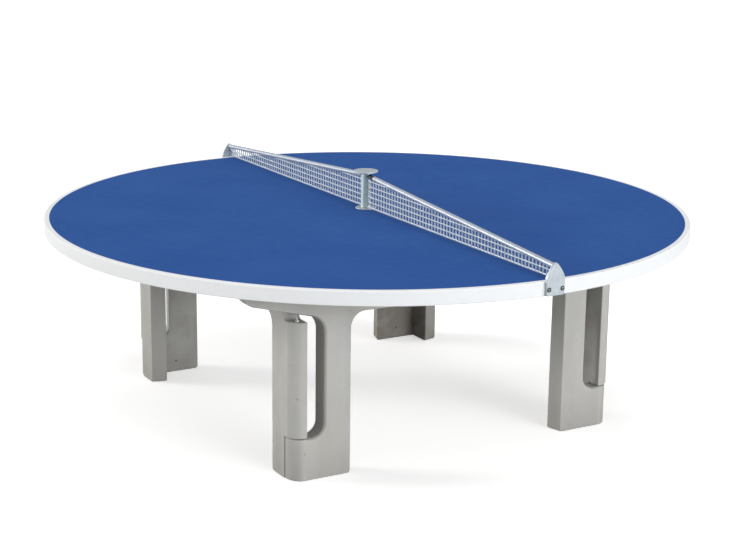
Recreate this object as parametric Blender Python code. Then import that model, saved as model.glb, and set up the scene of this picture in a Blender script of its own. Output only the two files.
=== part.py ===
"""Round outdoor table tennis table: a cast slab on four interlocked portal frames, with a steel net."""

import math

import bmesh
import bpy
from mathutils import Matrix, Vector

# Driving dimensions in metres. X runs across the net, Y along it, Z up; the origin is on the ground
# under the middle of the table.
GAP = 0.0003
CUTTER_MARGIN = 0.01
BORE_CLEARANCE = 0.001
SOCKET_SPARE = 0.003
FILLET_STEPS = 6

TABLE_RADIUS = 1.22
TABLE_TOP = 0.76
SLAB_THICKNESS = 0.05
SLAB_EDGE_RADIUS = 0.004
BLUE_RADIUS = 1.20
SLAB_SIDES = 96
SLAB_UNDERSIDE = TABLE_TOP - SLAB_THICKNESS
FRAME_TOP = SLAB_UNDERSIDE - GAP
UPRIGHT = Matrix.Identity(4)

# The two A frames stand across the net line's ends; their beams run on past the legs as arms.
A_OUTER_FACE = 0.693
A_INNER_FACE = 0.633
A_OPENING = (0.447, 0.430)  # half width at the outer face, at the inner face
BEAM_UNDERSIDE = (0.578, 0.563)
A_WINDOW_EDGE = (0.541, 0.553)
OPENING_RADIUS = 0.054
LEG_CORNER_RADIUS = 0.012
FOOT_REACH = 0.669
FOOT_TOP = 0.150
FOOT_FILLET = 0.047
ARM_REACH = 0.848
ARM_UNDERSIDE_AT_FOOT_REACH = 0.602
ARM_SLOPE = 0.273
ARM_FILLET = 0.060
ARM_TIP_RADIUS = 0.045

# The two B frames close the other sides: each leg carries a block that sits on an A frame's foot.
B_OUTER_FACE = 0.673
B_INNER_FACE = 0.614
B_OPENING = (0.542, 0.526)
B_LEG_EDGE = A_INNER_FACE - GAP
B_BLOCK_EDGE = A_OUTER_FACE
B_BLOCK_BOTTOM = 0.153
B_BLOCK_TOP = 0.565
B_BLOCK_DISH = 0.015
PLAN_CORNER_RADIUS = 0.050

# Corner studs tie each B block to the A arm above it; a flanged nut sits at each one's foot.
STUD_PLACE = (0.644, 0.673)
STUD_RADIUS = 0.004
STUD_DEPTH = 0.060
STUD_NUT_WIDTH = 0.013
STUD_NUT_HEIGHT = 0.0065
STUD_NUT_FLANGE = 0.0085
FLANGE_THICKNESS = 0.002

# Flanged bolts from below hold the slab on the beams, their heads sunk in counterbores.
BOLT_OFFSET = 0.18
BOLT_RADIUS = 0.006
BOLT_TIP = 0.738
BOLT_HEAD_WIDTH = 0.019
BOLT_HEAD_HEIGHT = 0.010
BOLT_FLANGE = 0.013
COUNTERBORE_RADIUS = 0.016
COUNTERBORE_TOP = 0.605
INSERT_RADIUS = 0.010
INSERT_LENGTH = 0.032

# Small round sockets cast in the frames' inner faces, near the ground.
SOCKET_RADIUS = 0.004
SOCKET_DEPTH = 0.020
A_SOCKET = (0.528, 0.045)
B_SOCKET = (0.593, 0.105)

# Net post: a tube between two discs, pulled down by a threaded rod through the slab.
POST_RADIUS = 0.01685
POST_WALL = 0.003
POST_BASE_RADIUS = 0.038
POST_CAP_RADIUS = 0.0475
DISC_THICKNESS = 0.005
NET_HEIGHT = 0.148
ROD_RADIUS = 0.006
ROD_BOTTOM = 0.682
ROD_TOP = 0.790
ROD_WASHER_RADIUS = 0.020
ROD_WASHER_THICKNESS = 0.003
ROD_NUT_HEIGHT = 0.010

# Net panels: perforated sheet, flanged at both ends towards +X, its top edge inside the sloping rail.
SHEET = 0.003
PANEL_BOTTOM = TABLE_TOP + 0.006
PANEL_END = TABLE_RADIUS
FLANGE = 0.014
FLANGE_MARGIN = 0.0035
NET_PITCH = 0.028
NET_HOLE = 0.021
NET_MARGIN = 0.006
NET_HOLES_START = 0.0225
NET_HOLES_END = 1.210
BRACKET_FLANGE_TOP = TABLE_TOP + 0.034
SMALLEST_HOLE = 0.006

# The rail's top falls straight from the post to the bracket. A long plug ends the near rail, and the
# far rail runs on to the post.
RAIL_RADIUS = 0.009
RAIL_WALL = 0.0016
RAIL_SLIT = 0.0038
NEAR_RAIL_START = 0.066
FAR_RAIL_START = 0.025
RAIL_END = 1.2175
RAIL_TOP_AT_POST = TABLE_TOP + 0.140
RAIL_SLOPE = 0.0685
NEAR_PLUG_HEAD = 0.040
FAR_PLUG_HEAD = 0.004
PLUG_EDGE = 0.0015
PLUG_STEM = 0.012
PLUG_SLOT_TOP = 0.0012

# End brackets on the rim, pointed like a window arch.
BRACKET_FACE = TABLE_RADIUS + GAP
BRACKET_DEPTH = 0.011
BRACKET_HALF_WIDTH = 0.035
BRACKET_BOTTOM = 0.712
BRACKET_SHOULDER = TABLE_TOP + 0.012
BRACKET_BULGE = (0.0233, TABLE_TOP + 0.0385)
BRACKET_POINT = TABLE_TOP + 0.064
BRACKET_FOOT_RADIUS = 0.006
BRACKET_SHOULDER_RADIUS = 0.020
BRACKET_BULGE_RADIUS = 0.150
BRACKET_APEX_RADIUS = 0.008
BRACKET_BEVEL = 0.0015
BRACKET_SCREW = (0.026, 0.734)
RIM_SCREW_RADIUS = 0.004
RIM_SCREW_LENGTH = 0.036
RIM_SCREW_HEAD = 0.008
RIM_SCREW_HEAD_HEIGHT = 0.005
RIM_INSERT_INSET = 0.002
RIM_INSERT_RADIUS = 0.007
RIM_INSERT_LENGTH = 0.028

# Panel screws go through the flanges' own holes; a wide head covers the hole.
PANEL_SCREW_RADIUS = 0.0025
PANEL_SCREW_HEAD = 0.005
PANEL_SCREW_HEAD_HEIGHT = 0.003
DOME_PROFILE = ((0.45, 1.0), (0.85, 0.65))  # radius, height as shares of a dome head's own
POST_SCREW_ROWS = (0, 2)
POST_SCREW_LENGTH = 0.011
BRACKET_SCREW_LENGTH = 0.010


def material(name, colour, roughness, metallic=0.0):
    """A plain surface of one colour."""
    made = bpy.data.materials.new(name)
    made.use_nodes = True
    surface = made.node_tree.nodes["Principled BSDF"]
    surface.inputs["Base Color"].default_value = (*colour, 1.0)
    surface.inputs["Roughness"].default_value = roughness
    surface.inputs["Metallic"].default_value = metallic
    return made


def loft(bm, sections, ring=False):
    """Join equal loops of points into a closed solid; a ring closes on itself without end faces."""
    loops = [[bm.verts.new(point) for point in section] for section in sections]
    pairs = list(zip(loops, loops[1:]))
    if ring:
        pairs.append((loops[-1], loops[0]))
    else:
        bm.faces.new(loops[0])
        bm.faces.new(loops[-1])
    for first, second in pairs:
        for index in range(len(first)):
            bm.faces.new((first[index - 1], first[index], second[index], second[index - 1]))


def finished_mesh(name, bm, paint, smooth_degrees=30.0):
    """Turn finished geometry into a mesh, shaded smooth but for its real edges."""
    bmesh.ops.recalc_face_normals(bm, faces=bm.faces)
    mesh = bpy.data.meshes.new(name)
    bm.to_mesh(mesh)
    bm.free()
    mesh.materials.append(paint)
    mesh.shade_smooth()
    mesh.set_sharp_from_angle(angle=math.radians(smooth_degrees))
    return mesh


def add_object(name, bm, paint):
    """A piece modelled where it stands."""
    made = bpy.data.objects.new(name, finished_mesh(name, bm, paint))
    bpy.context.collection.objects.link(made)
    return made


def add_copies(name, bm, paint, places):
    """Like pieces, numbered from 1: one mesh, placed by each object's own placement."""
    mesh = finished_mesh(name, bm, paint)
    for number, place in enumerate(places, start=1):
        made = bpy.data.objects.new(f"{name}_{number}", mesh)
        made.matrix_world = place
        bpy.context.collection.objects.link(made)


def turned_copy(source, name):
    """The same piece at the opposite side of the table, half a turn about the middle."""
    made = bpy.data.objects.new(name, source.data)
    made.rotation_euler.z = math.pi
    bpy.context.collection.objects.link(made)


def mirrored_copy(source, name):
    """The piece's mirror image at the net's other end."""
    bm = bmesh.new()
    bm.from_mesh(source.data)
    bmesh.ops.scale(bm, vec=(1, -1, 1), verts=bm.verts)
    add_object(name, bm, source.data.materials[0])


def cut(target, bm):
    """Take the closed shapes in bm out of the target's mesh."""
    bmesh.ops.recalc_face_normals(bm, faces=bm.faces)
    mesh = bpy.data.meshes.new("cutter")
    bm.to_mesh(mesh)
    bm.free()
    cutter = bpy.data.objects.new("cutter", mesh)
    cutter.hide_render = True
    cutter.display_type = "WIRE"
    bpy.context.collection.objects.link(cutter)
    boolean = target.modifiers.new("cut", "BOOLEAN")
    boolean.operation = "DIFFERENCE"
    boolean.solver = "EXACT"
    boolean.object = cutter
    depsgraph = bpy.context.evaluated_depsgraph_get()
    target.data = bpy.data.meshes.new_from_object(target.evaluated_get(depsgraph))
    target.modifiers.clear()
    bpy.data.objects.remove(cutter)


def circle(place, radius, height, sides=16):
    """A loop round the Z axis of the given placement."""
    turns = [2 * math.pi * index / sides for index in range(sides)]
    return [place @ Vector((radius * math.cos(t), radius * math.sin(t), height)) for t in turns]


def hexagon(place, across_flats, height, sides=12):
    """A hexagonal loop with as many points as the circles that it joins."""
    loop = []
    for index in range(sides):
        turn = 2 * math.pi * index / sides
        from_flat = (turn % (math.pi / 3)) - math.pi / 6
        radius = across_flats / 2 / math.cos(from_flat)
        loop.append(place @ Vector((radius * math.cos(turn), radius * math.sin(turn), height)))
    return loop


def facing(origin, direction):
    """Placement at the origin given, with its Z axis along the direction."""
    turn = Vector(direction).to_track_quat("Z", "Y").to_matrix().to_4x4()
    return Matrix.Translation(origin) @ turn


def cylinder(bm, place, radius, low, high, sides=16):
    """A plain round bar or drill."""
    loft(bm, [circle(place, radius, low, sides), circle(place, radius, high, sides)])


def sleeve(bm, radius, bore, low, high, sides=16):
    """A washer, tube or threaded sleeve: a round ring with a bore."""
    outer = [circle(UPRIGHT, radius, low, sides), circle(UPRIGHT, radius, high, sides)]
    inner = [circle(UPRIGHT, bore, high, sides), circle(UPRIGHT, bore, low, sides)]
    loft(bm, outer + inner, ring=True)


def nut(bm, across_flats, bore, height, flange=None):
    """A hexagon nut standing on the XY plane, with a round flange where one is given."""
    base = []
    if flange:
        base = [circle(UPRIGHT, flange, 0, 12), circle(UPRIGHT, flange, FLANGE_THICKNESS, 12)]
    low = FLANGE_THICKNESS if flange else 0
    outer = [hexagon(UPRIGHT, across_flats, low), hexagon(UPRIGHT, across_flats, height)]
    inner = [circle(UPRIGHT, bore, height, 12), circle(UPRIGHT, bore, 0, 12)]
    loft(bm, base + outer + inner, ring=True)


def hex_bolt(bm, across_flats, head_height, flange, radius, length):
    """A bolt whose shank leaves its flanged head along Z."""
    head = [
        hexagon(UPRIGHT, across_flats, -head_height),
        hexagon(UPRIGHT, across_flats, -FLANGE_THICKNESS),
        circle(UPRIGHT, flange, -FLANGE_THICKNESS, 12),
        circle(UPRIGHT, flange, 0, 12),
    ]
    loft(bm, head + [circle(UPRIGHT, radius, 0, 12), circle(UPRIGHT, radius, length, 12)])


def dome_screw(bm, head_radius, head_height, radius, length):
    """A button-headed screw whose shank leaves the head along Z."""
    head = [circle(UPRIGHT, head_radius * r, -head_height * h, 12) for r, h in DOME_PROFILE]
    head.append(circle(UPRIGHT, head_radius, 0, 12))
    loft(bm, head + [circle(UPRIGHT, radius, 0, 12), circle(UPRIGHT, radius, length, 12)])


def rounded(corners):
    """Replace each corner (x, z, radius) of a closed outline by an arc; radius 0 keeps it sharp."""
    points = []
    for index, (x, z, radius) in enumerate(corners):
        corner = Vector((x, z))
        if radius == 0:
            points.append(corner)
            continue
        before = (Vector(corners[index - 1][:2]) - corner).normalized()
        after = (Vector(corners[(index + 1) % len(corners)][:2]) - corner).normalized()
        half_angle = before.angle(after) / 2
        centre = corner + (before + after).normalized() * radius / math.sin(half_angle)
        start = corner + before * radius / math.tan(half_angle) - centre
        sweep = math.copysign(math.pi - 2 * half_angle, after.cross(before))
        for step in range(FILLET_STEPS + 1):
            points.append(centre + Matrix.Rotation(sweep * step / FILLET_STEPS, 2) @ start)
    return points


def mirrored(half, apex=()):
    """A closed outline from the corners of its +x half, given from the bottom up, and any on the middle."""
    return rounded(half + list(apex) + [(-x, z, radius) for x, z, radius in reversed(half)])


def plan_corner(bm, x, y, low, high):
    """Cutter that rounds an upright outer corner at (x, y) in plan."""
    x_sign = math.copysign(1, x)
    y_sign = math.copysign(1, y)
    radius = PLAN_CORNER_RADIUS
    centre = Vector((x - x_sign * radius, y - y_sign * radius))
    turns = [math.pi / 2 * step / FILLET_STEPS for step in range(FILLET_STEPS + 1)]
    outline = [centre + radius * Vector((x_sign * math.cos(t), y_sign * math.sin(t))) for t in turns]
    beyond = radius + CUTTER_MARGIN
    outline.append(centre + Vector((0, y_sign * beyond)))
    outline.append(centre + Vector((x_sign * beyond, y_sign * beyond)))
    outline.append(centre + Vector((x_sign * beyond, 0)))
    loft(bm, [[Vector((point.x, point.y, height)) for point in outline] for height in (low, high)])


def arm_underside(x):
    """Height of an A arm's sloping underside."""
    return ARM_UNDERSIDE_AT_FOOT_REACH + ARM_SLOPE * (x - B_OUTER_FACE)


def a_outline(face):
    """An A frame's outline at its outer face (0) or inner face (1): draft narrows the opening."""
    window = A_WINDOW_EDGE[face]
    return mirrored([
        (A_OPENING[face], BEAM_UNDERSIDE[face], OPENING_RADIUS),
        (A_OPENING[face], 0.0, LEG_CORNER_RADIUS),
        (FOOT_REACH, 0.0, 0),
        (FOOT_REACH, FOOT_TOP, 0),
        (window, FOOT_TOP, FOOT_FILLET),
        (window, arm_underside(window), ARM_FILLET),
        (ARM_REACH, arm_underside(ARM_REACH), ARM_TIP_RADIUS),
        (ARM_REACH, FRAME_TOP, 0),
    ])


def b_outline(face):
    """A B frame's outline: a straight leg, and a block outside it above the A frame's foot."""
    return mirrored([
        (B_OPENING[face], BEAM_UNDERSIDE[face], OPENING_RADIUS),
        (B_OPENING[face], 0.0, LEG_CORNER_RADIUS),
        (B_LEG_EDGE, 0.0, 0),
        (B_LEG_EDGE, B_BLOCK_BOTTOM, 0),
        (B_BLOCK_EDGE, B_BLOCK_BOTTOM, 0),
        (B_BLOCK_EDGE, B_BLOCK_TOP, 0),
        (B_LEG_EDGE, B_BLOCK_TOP, B_BLOCK_DISH),
        (B_LEG_EDGE, FRAME_TOP, 0),
    ])


def slab_bolt_places(height):
    """Placements at one height on the eight slab bolts' axes: two in each frame's beam."""
    a_middle = (A_OUTER_FACE + A_INNER_FACE) / 2
    b_middle = (B_OUTER_FACE + B_INNER_FACE) / 2
    for first in (-1, 1):
        for second in (-1, 1):
            yield Matrix.Translation((first * BOLT_OFFSET, second * a_middle, height))
            yield Matrix.Translation((first * b_middle, second * BOLT_OFFSET, height))


def stud_places(height):
    """Placements at one height on the four corner studs' axes."""
    for x in (-STUD_PLACE[0], STUD_PLACE[0]):
        for y in (-STUD_PLACE[1], STUD_PLACE[1]):
            yield Matrix.Translation((x, y, height))


def drill_beam(bm, place):
    """Counterbore from below and through hole for one slab bolt."""
    sections = [
        circle(place, COUNTERBORE_RADIUS, BEAM_UNDERSIDE[1] - CUTTER_MARGIN),
        circle(place, COUNTERBORE_RADIUS, COUNTERBORE_TOP),
        circle(place, BOLT_RADIUS + BORE_CLEARANCE, COUNTERBORE_TOP),
        circle(place, BOLT_RADIUS + BORE_CLEARANCE, SLAB_UNDERSIDE + CUTTER_MARGIN),
    ]
    loft(bm, sections)


def a_frames(concrete):
    """The front A frame, and the back one half a turn round."""
    bm = bmesh.new()
    outer = [Vector((x, -A_OUTER_FACE, z)) for x, z in a_outline(0)]
    inner = [Vector((x, -A_INNER_FACE, z)) for x, z in a_outline(1)]
    loft(bm, [outer, inner])
    front = add_object("a_frame_front", bm, concrete)
    drills = bmesh.new()
    for side in (-1, 1):
        middle = -(A_OUTER_FACE + A_INNER_FACE) / 2
        drill_beam(drills, Matrix.Translation((side * BOLT_OFFSET, middle, 0)))
        stud = Matrix.Translation((side * STUD_PLACE[0], -STUD_PLACE[1], 0))
        start = arm_underside(STUD_PLACE[0])
        cylinder(drills, stud, STUD_RADIUS + GAP, start - CUTTER_MARGIN, start + STUD_DEPTH + GAP)
        socket = facing((side * A_SOCKET[0], -A_INNER_FACE, A_SOCKET[1]), (0, -1, 0))
        cylinder(drills, socket, SOCKET_RADIUS, -CUTTER_MARGIN, SOCKET_DEPTH, 12)
        plan_corner(drills, side * FOOT_REACH, -A_OUTER_FACE, -CUTTER_MARGIN, FOOT_TOP + CUTTER_MARGIN)
    cut(front, drills)
    turned_copy(front, "a_frame_back")


def b_frames(concrete):
    """The left B frame, and the right one half a turn round."""
    bm = bmesh.new()
    outer = [Vector((-B_OUTER_FACE, y, z)) for y, z in b_outline(0)]
    inner = [Vector((-B_INNER_FACE, y, z)) for y, z in b_outline(1)]
    loft(bm, [outer, inner])
    left = add_object("b_frame_left", bm, concrete)
    drills = bmesh.new()
    for side in (-1, 1):
        middle = -(B_OUTER_FACE + B_INNER_FACE) / 2
        drill_beam(drills, Matrix.Translation((middle, side * BOLT_OFFSET, 0)))
        stud = Matrix.Translation((-STUD_PLACE[0], side * STUD_PLACE[1], 0))
        bottom = B_BLOCK_TOP - STUD_DEPTH - GAP
        cylinder(drills, stud, STUD_RADIUS + GAP, bottom, B_BLOCK_TOP + CUTTER_MARGIN)
        socket = facing((-B_INNER_FACE, side * B_SOCKET[0], B_SOCKET[1]), (-1, 0, 0))
        cylinder(drills, socket, SOCKET_RADIUS, -CUTTER_MARGIN, SOCKET_DEPTH, 12)
        low = B_BLOCK_BOTTOM - CUTTER_MARGIN
        plan_corner(drills, -B_OUTER_FACE, side * B_BLOCK_EDGE, low, B_BLOCK_TOP + CUTTER_MARGIN)
    cut(left, drills)
    turned_copy(left, "b_frame_right")


def corner_studs(steel):
    """A stud and its flanged nut in the open gap at each corner."""
    bottom = B_BLOCK_TOP - STUD_DEPTH
    stud = bmesh.new()
    cylinder(stud, UPRIGHT, STUD_RADIUS, 0, arm_underside(STUD_PLACE[0]) + STUD_DEPTH - bottom, 12)
    add_copies("corner_stud", stud, steel, stud_places(bottom))
    holder = bmesh.new()
    nut(holder, STUD_NUT_WIDTH, STUD_RADIUS + GAP, STUD_NUT_HEIGHT, STUD_NUT_FLANGE)
    add_copies("corner_nut", holder, steel, stud_places(B_BLOCK_TOP + GAP))


def slab(paint, line_paint):
    """The cast table top with a soft edge, sockets below and in the rim, and a hole for the rod."""
    bm = bmesh.new()
    sections = []
    lower = SLAB_UNDERSIDE + SLAB_EDGE_RADIUS
    upper = TABLE_TOP - SLAB_EDGE_RADIUS
    for middle, degrees in ((lower, -90), (lower, -45), (lower, 0), (upper, 0), (upper, 45), (upper, 90)):
        turn = math.radians(degrees)
        radius = TABLE_RADIUS - SLAB_EDGE_RADIUS * (1 - math.cos(turn))
        sections.append(circle(UPRIGHT, radius, middle + SLAB_EDGE_RADIUS * math.sin(turn), SLAB_SIDES))
    sections.append(circle(UPRIGHT, BLUE_RADIUS, TABLE_TOP, SLAB_SIDES))
    loft(bm, sections)
    top = add_object("tabletop", bm, line_paint)
    top.data.materials.append(paint)
    for face in top.data.polygons:
        inside = all(top.data.vertices[i].co.xy.length < BLUE_RADIUS + GAP for i in face.vertices)
        if inside and face.center.z > TABLE_TOP - GAP:
            face.material_index = 1
    drills = bmesh.new()
    low = SLAB_UNDERSIDE - CUTTER_MARGIN
    cylinder(drills, UPRIGHT, ROD_RADIUS + BORE_CLEARANCE, low, TABLE_TOP + CUTTER_MARGIN)
    for place in slab_bolt_places(SLAB_UNDERSIDE):
        cylinder(drills, place, INSERT_RADIUS + GAP, -CUTTER_MARGIN, INSERT_LENGTH + SOCKET_SPARE)
    for place in rim_screw_places():
        cylinder(drills, place, RIM_INSERT_RADIUS + GAP, -CUTTER_MARGIN, RIM_SCREW_LENGTH)
    cut(top, drills)


def slab_fixings(steel, brass):
    """Bolts and threaded inserts that hold the slab down on the beams."""
    seat = COUNTERBORE_TOP - GAP
    bolt = bmesh.new()
    hex_bolt(bolt, BOLT_HEAD_WIDTH, BOLT_HEAD_HEIGHT, BOLT_FLANGE, BOLT_RADIUS, BOLT_TIP - seat)
    add_copies("slab_bolt", bolt, steel, slab_bolt_places(seat))
    insert = bmesh.new()
    sleeve(insert, INSERT_RADIUS, BOLT_RADIUS + GAP, 0, INSERT_LENGTH, 12)
    add_copies("slab_insert", insert, brass, slab_bolt_places(SLAB_UNDERSIDE + GAP))


def net_post(steel):
    """Base disc, tube and cap of the middle post, and the rod that holds them down."""
    base_high = TABLE_TOP + GAP + DISC_THICKNESS
    cap_high = TABLE_TOP + NET_HEIGHT
    cap_low = cap_high - DISC_THICKNESS
    base = bmesh.new()
    sleeve(base, POST_BASE_RADIUS, ROD_RADIUS + BORE_CLEARANCE, TABLE_TOP + GAP, base_high, 32)
    add_object("post_base", base, steel)
    tube = bmesh.new()
    sleeve(tube, POST_RADIUS, POST_RADIUS - POST_WALL, base_high + GAP, cap_low - GAP, 32)
    post = add_object("post_tube", tube, steel)
    drills = bmesh.new()
    for place in post_screw_places():
        cylinder(drills, place, PANEL_SCREW_RADIUS + GAP, GAP, POST_SCREW_LENGTH + SOCKET_SPARE, 12)
    cut(post, drills)
    cap = bmesh.new()
    cylinder(cap, UPRIGHT, POST_CAP_RADIUS, cap_low, cap_high, 32)
    add_object("post_cap", cap, steel)
    rod = bmesh.new()
    cylinder(rod, UPRIGHT, ROD_RADIUS, ROD_BOTTOM, ROD_TOP, 12)
    add_object("tie_rod", rod, steel)
    washer = bmesh.new()
    washer_bottom = SLAB_UNDERSIDE - GAP - ROD_WASHER_THICKNESS
    sleeve(washer, ROD_WASHER_RADIUS, ROD_RADIUS + GAP, washer_bottom, SLAB_UNDERSIDE - GAP, 24)
    add_object("tie_rod_washer", washer, steel)
    holder = bmesh.new()
    nut(holder, BOLT_HEAD_WIDTH, ROD_RADIUS + GAP, ROD_NUT_HEIGHT)
    lower = Matrix.Translation((0, 0, washer_bottom - GAP - ROD_NUT_HEIGHT))
    upper = Matrix.Translation((0, 0, base_high + GAP))
    add_copies("tie_rod_nut", holder, steel, (lower, upper))


def rail_axis(distance):
    """Height of the rail's middle line at a distance from the post; the sheet's top edge is there."""
    return RAIL_TOP_AT_POST - RAIL_RADIUS - RAIL_SLOPE * distance


def panel_row(row):
    """Bottom and top of one row of holes."""
    bottom = PANEL_BOTTOM + NET_MARGIN + row * NET_PITCH
    return bottom, bottom + NET_HOLE


def panel_columns():
    """Upright lines of the folded sheet: outer and inner plan points, top, and whether a hole follows."""
    post = POST_RADIUS + GAP
    half = SHEET / 2
    columns = []
    for x, opens in ((FLANGE, False), (FLANGE - FLANGE_MARGIN, True), (FLANGE_MARGIN, False)):
        columns.append(((x, -post), (x, -post - SHEET), rail_axis(post), opens))
    columns.append(((-half, -post), (half, -post - SHEET), rail_axis(post), False))
    count = round((NET_HOLES_END - NET_HOLES_START) / NET_PITCH)
    for index in range(count):
        start = NET_HOLES_START + index * NET_PITCH
        for distance, opens in ((start, True), (start + NET_HOLE, False)):
            columns.append(((-half, -distance), (half, -distance), rail_axis(distance), opens))
    end = PANEL_END
    columns.append(((-half, -end), (half, -end + SHEET), rail_axis(end), False))
    for x, opens in ((FLANGE_MARGIN, True), (FLANGE - FLANGE_MARGIN, False), (FLANGE, False)):
        columns.append(((x, -end), (x, -end + SHEET), BRACKET_FLANGE_TOP, opens))
    return columns


def column_levels(top):
    """Heights along one upright line, keyed by what they bound; holes stop short of the top edge."""
    levels = {"bottom": PANEL_BOTTOM}
    limit = top - NET_MARGIN
    row = 0
    while panel_row(row)[0] + SMALLEST_HOLE < limit:
        bottom, hole_top = panel_row(row)
        levels[row, "low"] = bottom
        levels[row, "high"] = min(hole_top, limit)
        row += 1
    levels["top"] = top
    return levels


def net_panels(steel):
    """A folded, perforated sheet for each half of the net."""
    columns = panel_columns()
    outer = {}
    inner = {}
    bm = bmesh.new()
    for index, (outer_point, inner_point, top, opens) in enumerate(columns):
        for key, height in column_levels(top).items():
            outer[index, key] = bm.verts.new((*outer_point, height))
            inner[index, key] = bm.verts.new((*inner_point, height))
    loops = []
    for index in range(len(columns) - 1):
        left = list(column_levels(columns[index][2]))
        right = list(column_levels(columns[index + 1][2]))
        shared = [key for key in left if key in right and key != "top"]
        for low, high in zip(shared, shared[1:]):
            is_hole = columns[index][3] and low[1:] == ("low",)
            if not is_hole:
                loops.append([(index, low), (index + 1, low), (index + 1, high), (index, high)])
        rest_right = right[len(shared) - 1:]
        rest_left = left[len(shared) - 1:]
        loops.append([(index + 1, key) for key in rest_right] + [(index, key) for key in reversed(rest_left)])
    edges = {}
    for loop in loops:
        bm.faces.new([outer[key] for key in loop])
        bm.faces.new([inner[key] for key in reversed(loop)])
        for first, second in zip(loop, loop[1:] + loop[:1]):
            edges[first, second] = True
    for first, second in edges:
        if (second, first) not in edges:
            bm.faces.new((outer[second], outer[first], inner[first], inner[second]))
    near = add_object("net_panel_near", bm, steel)
    mirrored_copy(near, "net_panel_far")


def rail_place(side, start):
    """Placement at a rail's inner end: Y up, Z along the rail towards its bracket, at -Y or +Y."""
    along = Vector((0, side, -RAIL_SLOPE)).normalized()
    across = Vector((-side, 0, 0))
    up = along.cross(across)
    turn = Matrix((across, up, along)).transposed().to_4x4()
    return Matrix.Translation((0, side * start, rail_axis(start))) @ turn


def slit_arc(radius, slit, sides=16):
    """Points round a circle from one lip of a slit at its foot to the other."""
    lip = math.asin(slit / 2 / radius)
    start = -math.pi / 2 + lip
    sweep = 2 * math.pi - 2 * lip
    turns = [start + sweep * index / sides for index in range(sides + 1)]
    return [(radius * math.cos(turn), radius * math.sin(turn)) for turn in turns]


def net_rails(steel):
    """A slit tube over each panel's top edge."""
    outline = slit_arc(RAIL_RADIUS, RAIL_SLIT) + slit_arc(RAIL_RADIUS - RAIL_WALL, RAIL_SLIT)[::-1]
    for name, side, start in (("near", -1, NEAR_RAIL_START), ("far", 1, FAR_RAIL_START)):
        length = (RAIL_END - start) * math.sqrt(1 + RAIL_SLOPE ** 2)
        place = rail_place(side, start)
        bm = bmesh.new()
        loft(bm, [[place @ Vector((x, y, along)) for x, y in outline] for along in (0, length)])
        add_object(f"net_rail_{name}", bm, steel)


def rail_plugs(plastic):
    """A plug in each rail's inner end, slotted to let the sheet's top edge pass."""
    bore = RAIL_RADIUS - RAIL_WALL - GAP
    slot_top = [(-RAIL_SLIT / 2, PLUG_SLOT_TOP), (RAIL_SLIT / 2, PLUG_SLOT_TOP)]
    for name, side, start, head in (
        ("near", -1, NEAR_RAIL_START, NEAR_PLUG_HEAD),
        ("far", 1, FAR_RAIL_START, FAR_PLUG_HEAD),
    ):
        place = rail_place(side, start)
        sections = []
        for radius, along in (
            (RAIL_RADIUS - PLUG_EDGE, -head),
            (RAIL_RADIUS, -head + PLUG_EDGE),
            (RAIL_RADIUS, -GAP),
            (bore, -GAP),
            (bore, PLUG_STEM),
        ):
            outline = slit_arc(radius, RAIL_SLIT) + slot_top
            sections.append([place @ Vector((x, y, along)) for x, y in outline])
        bm = bmesh.new()
        loft(bm, sections)
        add_object(f"rail_plug_{name}", bm, plastic)


def rim_screw_places():
    """Placements on the rim under the bracket screws, Z pointing into the slab."""
    for side in (-1, 1):
        for x in (-BRACKET_SCREW[0], BRACKET_SCREW[0]):
            yield facing((x, side * TABLE_RADIUS, BRACKET_SCREW[1]), (0, -side, 0))


def flange_hole_height(row, flange_top):
    """Middle height of one hole in a flange's own column."""
    bottom, top = panel_row(row)
    return (bottom + min(top, flange_top - NET_MARGIN)) / 2


def post_screw_places():
    """Placements where the panel screws' heads meet the flanges at the post, Z into the post."""
    distance = POST_RADIUS + SHEET + 2 * GAP
    for side in (-1, 1):
        for row in POST_SCREW_ROWS:
            height = flange_hole_height(row, rail_axis(POST_RADIUS))
            yield facing((FLANGE / 2, side * distance, height), (0, -side, 0))


def flange_bracket_places():
    """Placements where the panel screws' heads meet the flanges at the brackets, Z outwards."""
    height = flange_hole_height(0, BRACKET_FLANGE_TOP)
    for side in (-1, 1):
        yield facing((FLANGE / 2, side * (PANEL_END - SHEET - GAP), height), (0, side, 0))


def end_brackets(steel):
    """A pointed plate on the rim at each end of the net."""
    sides = [
        (BRACKET_HALF_WIDTH, BRACKET_BOTTOM, BRACKET_FOOT_RADIUS),
        (BRACKET_HALF_WIDTH, BRACKET_SHOULDER, BRACKET_SHOULDER_RADIUS),
        (*BRACKET_BULGE, BRACKET_BULGE_RADIUS),
    ]
    outline = mirrored(sides, [(0, BRACKET_POINT, BRACKET_APEX_RADIUS)])
    bm = bmesh.new()
    back = BRACKET_FACE + BRACKET_DEPTH
    sections = []
    for distance, inset in ((BRACKET_FACE, 0), (back - BRACKET_BEVEL, 0), (back, BRACKET_BEVEL)):
        middle = Vector((0, (BRACKET_BOTTOM + BRACKET_SHOULDER) / 2))
        shrink = 1 - inset / BRACKET_HALF_WIDTH
        loop = [middle + (point - middle) * shrink for point in outline]
        sections.append([Vector((point.x, -distance, point.y)) for point in loop])
    loft(bm, sections)
    near = add_object("end_bracket_near", bm, steel)
    drills = bmesh.new()
    for place in list(rim_screw_places())[:2]:
        cylinder(drills, place, RIM_SCREW_RADIUS + GAP, -BRACKET_DEPTH - CUTTER_MARGIN, CUTTER_MARGIN)
    near_flange = next(flange_bracket_places())
    cylinder(drills, near_flange, PANEL_SCREW_RADIUS + GAP, 0, BRACKET_SCREW_LENGTH + GAP)
    cut(near, drills)
    mirrored_copy(near, "end_bracket_far")


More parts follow.
